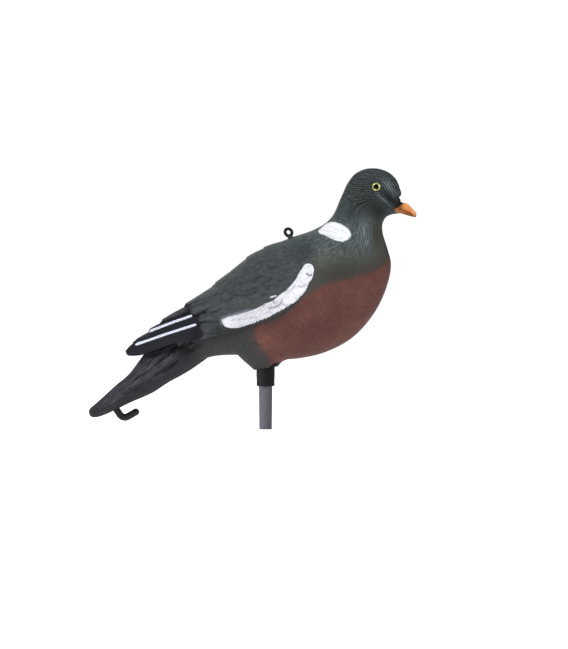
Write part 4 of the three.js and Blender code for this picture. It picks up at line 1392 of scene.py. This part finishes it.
    def breast_coat(self, colour):
        """Maroon with a soft edge, browned under it."""
        coat = self.blend(self.cloudy.within(0.3, 0.7) * 0.6 + 0.2, MAROON_PAINT, MAROON_LIGHT)
        coat = self.shade(coat, 0.86 + self.hatch * 0.23 + self.mottle * 0.08)
        under = self.on_torso.most(self.on_form(BOSS_FORM))
        browned = (self.maroon + self.wobble * 3).within(-17, 0) * under * 0.8
        colour = self.blend(browned, colour, UNDER_BROWN)
        return self.blend((self.maroon + self.wobble * 2.2).within(-3.4, 2.2), colour, coat)

    def dark_feathers(self, colour):
        """The charcoal rump and tail, painted lighter grey on the tail's top where the light falls, and the
        black flight feathers.
        """
        # Painted light: the tail's top is lighter grey and its side and keel charcoal, as the light falls
        # on the top.
        coat = self.blend(self.top.within(-2.5, 3.5), TAIL_CHARCOAL, TAIL_LIT_GREY)
        coat = self.shade(coat, self.mottle * 0.5 + self.speckle * 0.1 + self.vane * 1.9 - 0.17)
        rear = (self.on_torso + self.on_form(TAIL_FORM)) * (1 - self.drawn_x.within(-88, -58))
        colour = self.blend(rear * (1 - self.drawn_z.within(92, 104)), colour, coat)
        coat = self.shade(FLIGHT_BLACK, 0.6 + self.vane * 0.8)
        return self.blend((self.flight + self.wobble * 2.4).within(-1.8, 1.6), colour, coat)

    def tones(self, colour):
        """The paint's fine speckle, the darker gaps between feathers, and the lighter and darker places,
        among them painted highlights and painted shade.
        """
        colour = self.shade(colour, 0.83 + self.speckle * 0.24 + self.mottle * 0.1)
        return self.shade(self.shade(colour, 1 - self.gap * 0.6), 2 ** self.tone)

    def white_feathers(self, colour):
        """The stripes at the wing's end, and the barbed bar with its toothed edge and its overspray."""
        drawn_x, drawn_z = self.drawn_x, self.drawn_z
        colour = self.blend((self.stripes + self.wobble * 0.3).within(-0.3, 0.35), colour, STRIPE_WHITE)
        coat = self.blend(self.barb * self.barbed * 0.45, BAR_WHITE, BARB_GREY)
        coat = self.shade(coat, 0.84 + self.crumpled * 0.14 + drawn_x.within(12, 36) * 0.06)
        coat = self.shade(coat, (1 - self.gap * 0.5) * (1 - (self.lines * 1.1).least(1) * 0.8))
        over_bar = (drawn_z - drawn_x * 0.3).within(124, 127) * (1 - drawn_x.within(-22, -8))
        colour = self.blend((self.bar + self.wobble).within(-4, 0) * over_bar * 0.35, colour, OVERSPRAY)
        toothed = drawn_x.within(-22, -12) * (1 - drawn_x.within(26, 38))
        toothed = toothed * (1 - (drawn_z - drawn_x * 0.7).within(124, 130))
        edge = self.bar + self.wobble * 0.8 - self.barb * toothed * 0.9
        return self.blend(edge.within(-0.35, 0.4), colour, coat)

    def neck_patch(self, colour):
        coat = self.shade(WHITE_PAINT, (0.92 + self.streaks * 0.12) * (1 - self.lines * 0.3))
        ragged = (self.noise(self.spot, 0.8, 3, 0.7) - 0.5) * 2.6
        return self.blend((self.patch + self.wobble + ragged).within(-0.9, 0.8), colour, coat)

    def bill_coat(self, colour):
        """Orange horn with a painted highlight over its root half, paler below its root and at its tip,
        over a dark base, with the painted highlights and shade of the lighter and darker places over it.
        """
        drawn_x, drawn_z = self.drawn_x, self.drawn_z
        colour = self.blend((self.base + self.wobble).within(-2.6, 1.2) * 0.85, colour, BILL_DARK)
        # Painted highlight: the orange is lighter where the light falls on the bill.
        lit = drawn_z.within(229, 239) * drawn_x.within(141, 152)
        paler = (1 - drawn_x.within(143, 151)) * (1 - drawn_z.within(233, 236.5)) * 0.5
        paler = paler.most(drawn_x.within(153, 160) * 0.5)
        coat = self.blend(paler, self.blend(lit, BILL_ORANGE, BILL_LIT_ORANGE), BILL_PALE)
        coat = self.shade(coat, (0.82 + self.mottle * 0.3) * 2 ** self.tone)
        share = (self.horn + self.wobble * 0.3).within(-0.4, 0.4) * drawn_x.within(136.4, 140.6)
        return self.blend(share, colour, coat)

    def black_mouth(self, colour):
        return self.blend((self.mouth + self.wobble * 0.6).within(-0.5, 0.5), colour, MOUTH_BLACK)

    def relief(self):
        """What is carved too finely for the mesh, as the height of a bump."""
        ridges = self.hair * self.groomed * 0.8 + self.streaks * self.on_neck * self.on_torso * 0.9
        ridges = ridges + self.hatch * self.on_torso * (1 - self.on_head) * 0.35
        barbs = self.barb * self.barbed * self.bar.within(-0.5, 0.5)
        fine = self.noise(self.spot, 3.2, 2, 0.6)
        return (ridges * 1.4 + barbs * 0.6 + fine * 0.25 - self.gap * 0.6
                + self.crumpled * self.on_wing * 1.5)


def painted_shell():
    paint = ShellPaint()
    colour = paint.grey_coat()
    for coat in (paint.neck_coat, paint.breast_coat, paint.dark_feathers, paint.tones,
                 paint.white_feathers, paint.neck_patch, paint.bill_coat, paint.black_mouth):
        colour = coat(colour)
    rough = 0.6 + paint.speckle * 0.12 - paint.patch.within(-0.3, 0.3) * 0.06
    return paint.finish(colour, rough, paint.relief(), depth=0.18)


EYE_YELLOW = srgb(150, 150, 84)
EYE_AMBER = srgb(70, 66, 18)
EYE_BLACK = srgb(13, 5, 4)
EYE_GLINT = srgb(226, 222, 190)
PLASTIC_BLACK = srgb(15, 15, 18)
PEG_GREY = srgb(78, 78, 86)
FLOOR_WHITE = srgb(190, 190, 190)
PUPIL_RADIUS = 2.6

# Highlights painted on the eye: how far ahead of its middle and over it, and how far each reaches
EYE_GLINTS = [(-2.3, 2.7, 1.3), (3.3, 1.0, 1.7), (-1.4, -3.2, 1.3)]


def glossy_eye():
    glass = Finish("glossy eye", Roughness=0.2, Specular_IOR_Level=0.06)
    x, y, z = glass.parts(glass.place())

    def from_eye(ahead=0, up=0):
        return ((x - (EYE_X + ahead)) ** 2 + (z - (EYE_HEIGHT + up)) ** 2) ** 0.5

    away = from_eye()
    flecks = glass.noise(glass.vector(x * 0.5, y * 0.1, z * 0.5), 2.2, 3, 0.7)
    lit = ((x - EYE_X) * 0.12 + 0.5).within(0.1, 0.9)
    shaded = away.within(3.7, 4.8).most(1 - away.within(2.6, 3.5))
    colour = glass.blend(shaded, glass.shade(EYE_YELLOW, 0.92 + lit * 0.3), EYE_AMBER)
    colour = glass.shade(colour, 0.8 + flecks * 0.4)
    for ahead, up, reach in EYE_GLINTS:
        colour = glass.blend((1 - from_eye(ahead, up).within(0.3, reach)) * 0.75, colour, EYE_GLINT)
    ragged = away + (flecks - 0.5) * 0.3
    colour = glass.blend(ragged.within(EYE_RADIUS - 0.2, EYE_RADIUS + 0.15), colour, EYE_BLACK)
    colour = glass.blend(1 - ragged.within(PUPIL_RADIUS - 0.15, PUPIL_RADIUS + 0.1), colour, EYE_BLACK)
    return glass.finish(colour, 0.14 + flecks * 0.1)


def black_plastic():
    plastic = Finish("black plastic", Roughness=0.45, Specular_IOR_Level=0.16)
    place = plastic.place()
    grain = plastic.noise(place, 2.6, 3, 0.6)
    worn = plastic.noise(place, 0.35, 3, 0.6).within(0.5, 0.75)
    x, y, z = plastic.parts(place)
    colour = plastic.shade(PLASTIC_BLACK, 0.8 + worn * 0.7)
    on_bush = z.within(40, 44) * (1 - z.within(90, 94))
    # Painted light on the bush: lighter on its left side and darker on its right, as the light falls from
    # the left.
    colour = plastic.shade(colour, 1 + on_bush * (1.7 - x.within(-8, 4) * 2.3))
    on_hook = 1 - x.within(-110, -100)
    colour = plastic.blend(on_hook * (0.5 + grain * 0.6), colour, TAIL_CHARCOAL)
    over = z + grain * 0.8 - RING_FOOT.z
    sprayed = over.within(-9, -8) * (1 - over.within(1.4, 2.6))
    colour = plastic.blend(sprayed, colour, SLATE)
    return plastic.finish(colour, 0.4 + grain * 0.2 - worn * 0.08, grain, depth=0.05)


def grey_peg():
    plastic = Finish("grey peg plastic", Roughness=0.6, Specular_IOR_Level=0.4)
    place = plastic.place()
    x, y, z = plastic.parts(place)
    drawn = plastic.noise(plastic.vector(x * 1.5, y * 1.5, z * 0.08), 1.2, 3, 0.6)
    soil = plastic.noise(place, 0.25, 3, 0.65).within(0.5, 0.8)
    rub = 1 - ((x + 2.2).size() * 0.8 + (z - 43.5).size() * 0.35).within(0.4, 1.3)
    # Painted light: the peg's left side is lighter, where the light falls on it.
    painted_lit_side = 1 - x.within(-6.5, 5)
    colour = plastic.shade(PEG_GREY, 0.66 + drawn * 0.2 + painted_lit_side * 0.62)
    colour = plastic.shade(colour, 1 - soil * 0.08 - rub * 0.3)
    return plastic.finish(colour, 0.52 + drawn * 0.16, drawn, depth=0.08)


def pale_floor():
    floor = Finish("pale floor", Roughness=0.9, Specular_IOR_Level=0.0,
                   Emission_Color=(1, 1, 1, 1), Emission_Strength=0.85)
    cloud = floor.noise(floor.place(), 0.004)
    return floor.finish(floor.shade(FLOOR_WHITE, 0.99 + cloud * 0.02))


# The small pieces

def rounded(corners, radius, steps=4):
    """A line with its inner corners rounded."""
    corners = [Vector(c) for c in corners]
    line = [corners[0]]
    for before, corner, after in zip(corners, corners[1:], corners[2:]):
        reach = min(radius, (before - corner).length / 2, (after - corner).length / 2)
        start = corner + (before - corner).normalized() * reach
        end = corner + (after - corner).normalized() * reach
        for step in range(steps + 1):
            share = step / steps
            line.append(start.lerp(corner, share).lerp(corner.lerp(end, share), share))
    return line + [corners[-1]]


def lathe(name, profile, centre=(0, 0, 0), way=(0, 0, 1), sides=64):
    """A turned piece from (radius, along) pairs that start and end on its axis."""
    turn = Vector(way).to_track_quat("Z", "Y").to_matrix()
    points = []
    for radius, along in profile:
        for a in full_turn(sides):
            spot = turn @ Vector((radius * math.cos(a), radius * math.sin(a), along)) + Vector(centre)
            points.append(tuple(spot * MM))
    return closed_mesh(name, np.array(points), band_faces(len(profile), sides))


def bar_tree():
    """Sweeps a moulded bar of rounded section along a curve, thinned by the curve's own radius."""
    tree = bpy.data.node_groups.new("moulded bar", "GeometryNodeTree")
    for name, kind in (("Path", "Geometry"), ("Width", "Float"), ("Thickness", "Float"),
                       ("Corner Radius", "Float"), ("Finish", "Material")):
        tree.interface.new_socket(name, in_out="INPUT", socket_type="NodeSocket" + kind)
    tree.interface.new_socket("Bar", in_out="OUTPUT", socket_type="NodeSocketGeometry")
    given = tree.nodes.new("NodeGroupInput").outputs
    section, corners, taper, sweep, real, finish = (tree.nodes.new("GeometryNode" + kind) for kind in (
        "CurvePrimitiveQuadrilateral", "FilletCurve", "InputRadius", "CurveToMesh", "RealizeInstances",
        "SetMaterial"))
    corners.mode = "POLY"
    corners.inputs["Count"].default_value = 7
    corners.inputs["Limit Radius"].default_value = True
    sweep.inputs["Fill Caps"].default_value = True
    made = tree.nodes.new("NodeGroupOutput")
    for source, target in (
            (given["Width"], section.inputs["Width"]), (given["Thickness"], section.inputs["Height"]),
            (section.outputs[0], corners.inputs["Curve"]),
            (given["Corner Radius"], corners.inputs["Radius"]),
            (given["Path"], sweep.inputs["Curve"]), (corners.outputs[0], sweep.inputs["Profile Curve"]),
            (taper.outputs[0], sweep.inputs["Scale"]), (sweep.outputs[0], real.inputs[0]),
            (real.outputs[0], finish.inputs["Geometry"]), (given["Finish"], finish.inputs["Material"]),
            (finish.outputs[0], made.inputs["Bar"])):
        tree.links.new(source, target)
    return tree


def bar(name, tree, path, radii, width, thickness, corner, finish, closed=False):
    """A bar along a path, from the tree, as a plain mesh with closed ends."""
    curve = bpy.data.curves.new(name, "CURVE")
    curve.dimensions = "3D"
    spline = curve.splines.new("POLY")
    spline.points.add(len(path) - 1)
    spline.use_cyclic_u = closed
    for point, place, radius in zip(spline.points, path, radii):
        point.co = (*(Vector(place) * MM), 1)
        point.radius = radius
    drawn = place_object(name, curve)
    swept = drawn.modifiers.new("sweep", "NODES")
    swept.node_group = tree
    values = {"Width": width * MM, "Thickness": thickness * MM, "Corner Radius": corner * MM,
              "Finish": finish}
    for socket in tree.interface.items_tree:
        if socket.in_out == "INPUT" and socket.name in values:
            swept[socket.identifier] = values[socket.name]
    drawn.update_tag()
    shape = drawn.evaluated_get(bpy.context.evaluated_depsgraph_get())
    mesh = bpy.data.meshes.new_from_object(shape)
    bpy.data.objects.remove(drawn)
    bpy.data.curves.remove(curve)
    tidy_up(mesh, 1e-6)
    return place_object(name, mesh)


RING_ROUNDING = 0.8


def make_ring(tree, finish):
    middle = RING_HOLE_RADIUS + RING_WALL / 2
    across = Vector((math.cos(RING_TURN), math.sin(RING_TURN), 0))
    up = Vector((-math.sin(RING_TURN) * math.sin(RING_TILT), math.cos(RING_TURN) * math.sin(RING_TILT),
                 math.cos(RING_TILT)))
    path = [RING_CENTRE + middle * (across * math.cos(a) + up * math.sin(a)) for a in full_turn(72)]
    ring = bar("hanging_ring_eye", tree, path, [1] * len(path), RING_HALF_THICK * 2, RING_WALL,
               RING_ROUNDING, finish, closed=True)
    top = RING_FOOT_RISE + 0.5
    foot = lathe("foot", rounded([(0, -RING_SHANK_LENGTH), (RING_SHANK_RADIUS, -RING_SHANK_LENGTH),
                                  (RING_SHANK_RADIUS, 0), (RING_FOOT_RADIUS, 0),
                                  (RING_FOOT_RADIUS - 0.2, RING_FOOT_RISE - 0.2),
                                  (RING_HALF_THICK, top), (0, top)], 0.35), RING_FOOT)
    join(ring, foot)
    return ring


def make_hook(tree, finish):
    start = HOOK_START - HOOK_WAY * HOOK_SUNK
    bend = HOOK_START + HOOK_WAY * HOOK_DROP
    middle = bend + Vector((-HOOK_WAY.z, 0, HOOK_WAY.x)) * HOOK_BEND_RADIUS
    path = [start.lerp(bend, share) for share in np.linspace(0, 1, 12)]
    turns = np.linspace(HOOK_SHANK_TURN, HOOK_TIP_TURN, 20)[1:] - math.pi / 2
    path += [middle + way_at(a) * HOOK_BEND_RADIUS for a in turns]
    way = way_at(HOOK_TIP_TURN)
    bent = path[-1]
    path += [bent + way * HOOK_TIP * share for share in (0.25, 0.5, 0.75, 1)]
    radii = [1] * len(path)
    for a in np.radians([15, 30, 45, 58, 70, 80, 87]):
        path.append(bent + way * (HOOK_TIP + HOOK_RADIUS * math.sin(a)))
        radii.append(math.cos(a))
    return bar("tail_hook_bar", tree, path, radii, HOOK_RADIUS * 2, HOOK_RADIUS * 2, HOOK_RADIUS, finish)


def make_eye(side):
    rim = 0.25
    dome = [(EYE_RADIUS * math.sin(a), rim + (EYE_STANDS - rim) * math.cos(a))
            for a in np.radians(np.linspace(90, 0, 22))]
    profile = rounded([(0, -EYE_SEAT_DEPTH), (EYE_RADIUS, -EYE_SEAT_DEPTH), (EYE_RADIUS, 0)], 0.4)
    name = "eye_glass_left" if side > 0 else "eye_glass_right"
    return lathe(name, profile + dome, (EYE_X, side * EYE_Y, EYE_HEIGHT), (0, side, 0), 96)


def make_bush():
    chamfer = 0.9
    corners = [(0, BORE_TOP), (BUSH_BORE_RADIUS, BORE_TOP), (BUSH_BORE_RADIUS, PEG_SHOWS),
               (BUSH_RADIUS - chamfer, PEG_SHOWS), (BUSH_RADIUS, PEG_SHOWS + chamfer),
               (BUSH_RADIUS, BUSH_TOP), (0, BUSH_TOP)]
    return lathe("peg_socket_bush", rounded(corners, 0.3), sides=96)


def make_peg():
    corners = [(0, 0), (PEG_FOOT_RADIUS, 0), (PEG_TOP_RADIUS, PEG_SHOWS), (PEG_TOP_RADIUS, PEG_TOP),
               (0, PEG_TOP)]
    return lathe("ground_peg", rounded(corners, 0.35), sides=96)


def dress(piece, node, finish, sharp_degrees=38):
    """Gives a finished piece its material, its smooth faces and its place in the frame."""
    mesh = piece.data
    mesh.materials.clear()
    mesh.materials.append(finish)
    mesh.shade_smooth()
    mesh.set_sharp_from_angle(angle=math.radians(sharp_degrees))
    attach(piece, "root")
    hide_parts(node)


# The studio: its floor, its lamps as name, place, aim, size and power, its sky, sun and lens
FLOOR_REACH = 12
MIDDLE = (0, 0, 0.15)
LAMPS = [
    ("key light", (-1.0, -2.5, 2.1), MIDDLE, 1.6, 72),
    ("front fill light", (2.1, -2.0, 1.5), MIDDLE, 1.8, 36),
    ("low side light", (-2.7, -0.8, 0.5), (0, 0, 0.05), 0.9, 22),
    ("back light", (-0.6, 2.9, 1.2), MIDDLE, 2.0, 44),
]
SKY_STRENGTH = 1.02
SUN_STRENGTH = 1.35
SUN_SPREAD = math.radians(70)
LENS = 180


def lay_floor():
    mesh = bpy.data.meshes.new("pale_floor")
    corners = [(x * FLOOR_REACH, y * FLOOR_REACH, 0) for x, y in ((-1, -1), (1, -1), (1, 1), (-1, 1))]
    mesh.from_pydata(corners, [], [(0, 1, 2, 3)])
    mesh.materials.append(pale_floor())
    floor = place_object("pale_floor", mesh)


def set_up_lamps():
    for name, place, aim, size, power in LAMPS:
        lamp = bpy.data.lights.new(name, "AREA")
        lamp.shape = "SQUARE"
        lamp.size = size
        lamp.energy = power
        holder = place_object(name, lamp)
        holder.location = place
        holder.rotation_euler = (Vector(aim) - Vector(place)).to_track_quat("-Z", "Y").to_euler()
    sun = bpy.data.lights.new("top light", "SUN")
    sun.angle = SUN_SPREAD
    sun.energy = SUN_STRENGTH
    place_object("top light", sun)


def set_up_sky(scene):
    world = bpy.data.worlds.new("studio")
    world.use_nodes = True
    sky = world.node_tree.nodes["Background"].inputs
    sky["Color"].default_value = (1, 1, 1, 1)
    sky["Strength"].default_value = SKY_STRENGTH
    world.cycles_visibility.diffuse = False
    world.cycles_visibility.glossy = False
    scene.world = world


def set_up_camera(scene):
    lens = bpy.data.cameras.new("camera")
    lens.lens = LENS
    lens.sensor_width = VIEW_HEIGHT / VIEW_FROM * LENS
    lens.clip_start, lens.clip_end = 0.1, 60
    camera = place_object("camera", lens)
    camera.location = ((VIEW_X - AXIS_X) * MM, -VIEW_FROM * MM, VIEW_Z * MM)
    camera.rotation_euler = (math.radians(90), 0, 0)
    scene.camera = camera
    scene.view_settings.view_transform = "Standard"


shell = make_shell()
outline_paint(shell)
dress(shell, "body", painted_shell(), sharp_degrees=50)
black = black_plastic()
bar_sweep = bar_tree()
dress(make_ring(bar_sweep, black), "hanging_ring", black)
dress(make_hook(bar_sweep, black), "tail_hook", black)
dress(make_bush(), "peg_socket", black)
dress(make_peg(), "peg", grey_peg())
glass = glossy_eye()
for side, eye_node in ((1, "eye_left"), (-1, "eye_right")):
    dress(make_eye(side), eye_node, glass)
lay_floor()
set_up_lamps()
set_up_sky(bpy.context.scene)
set_up_camera(bpy.context.scene)
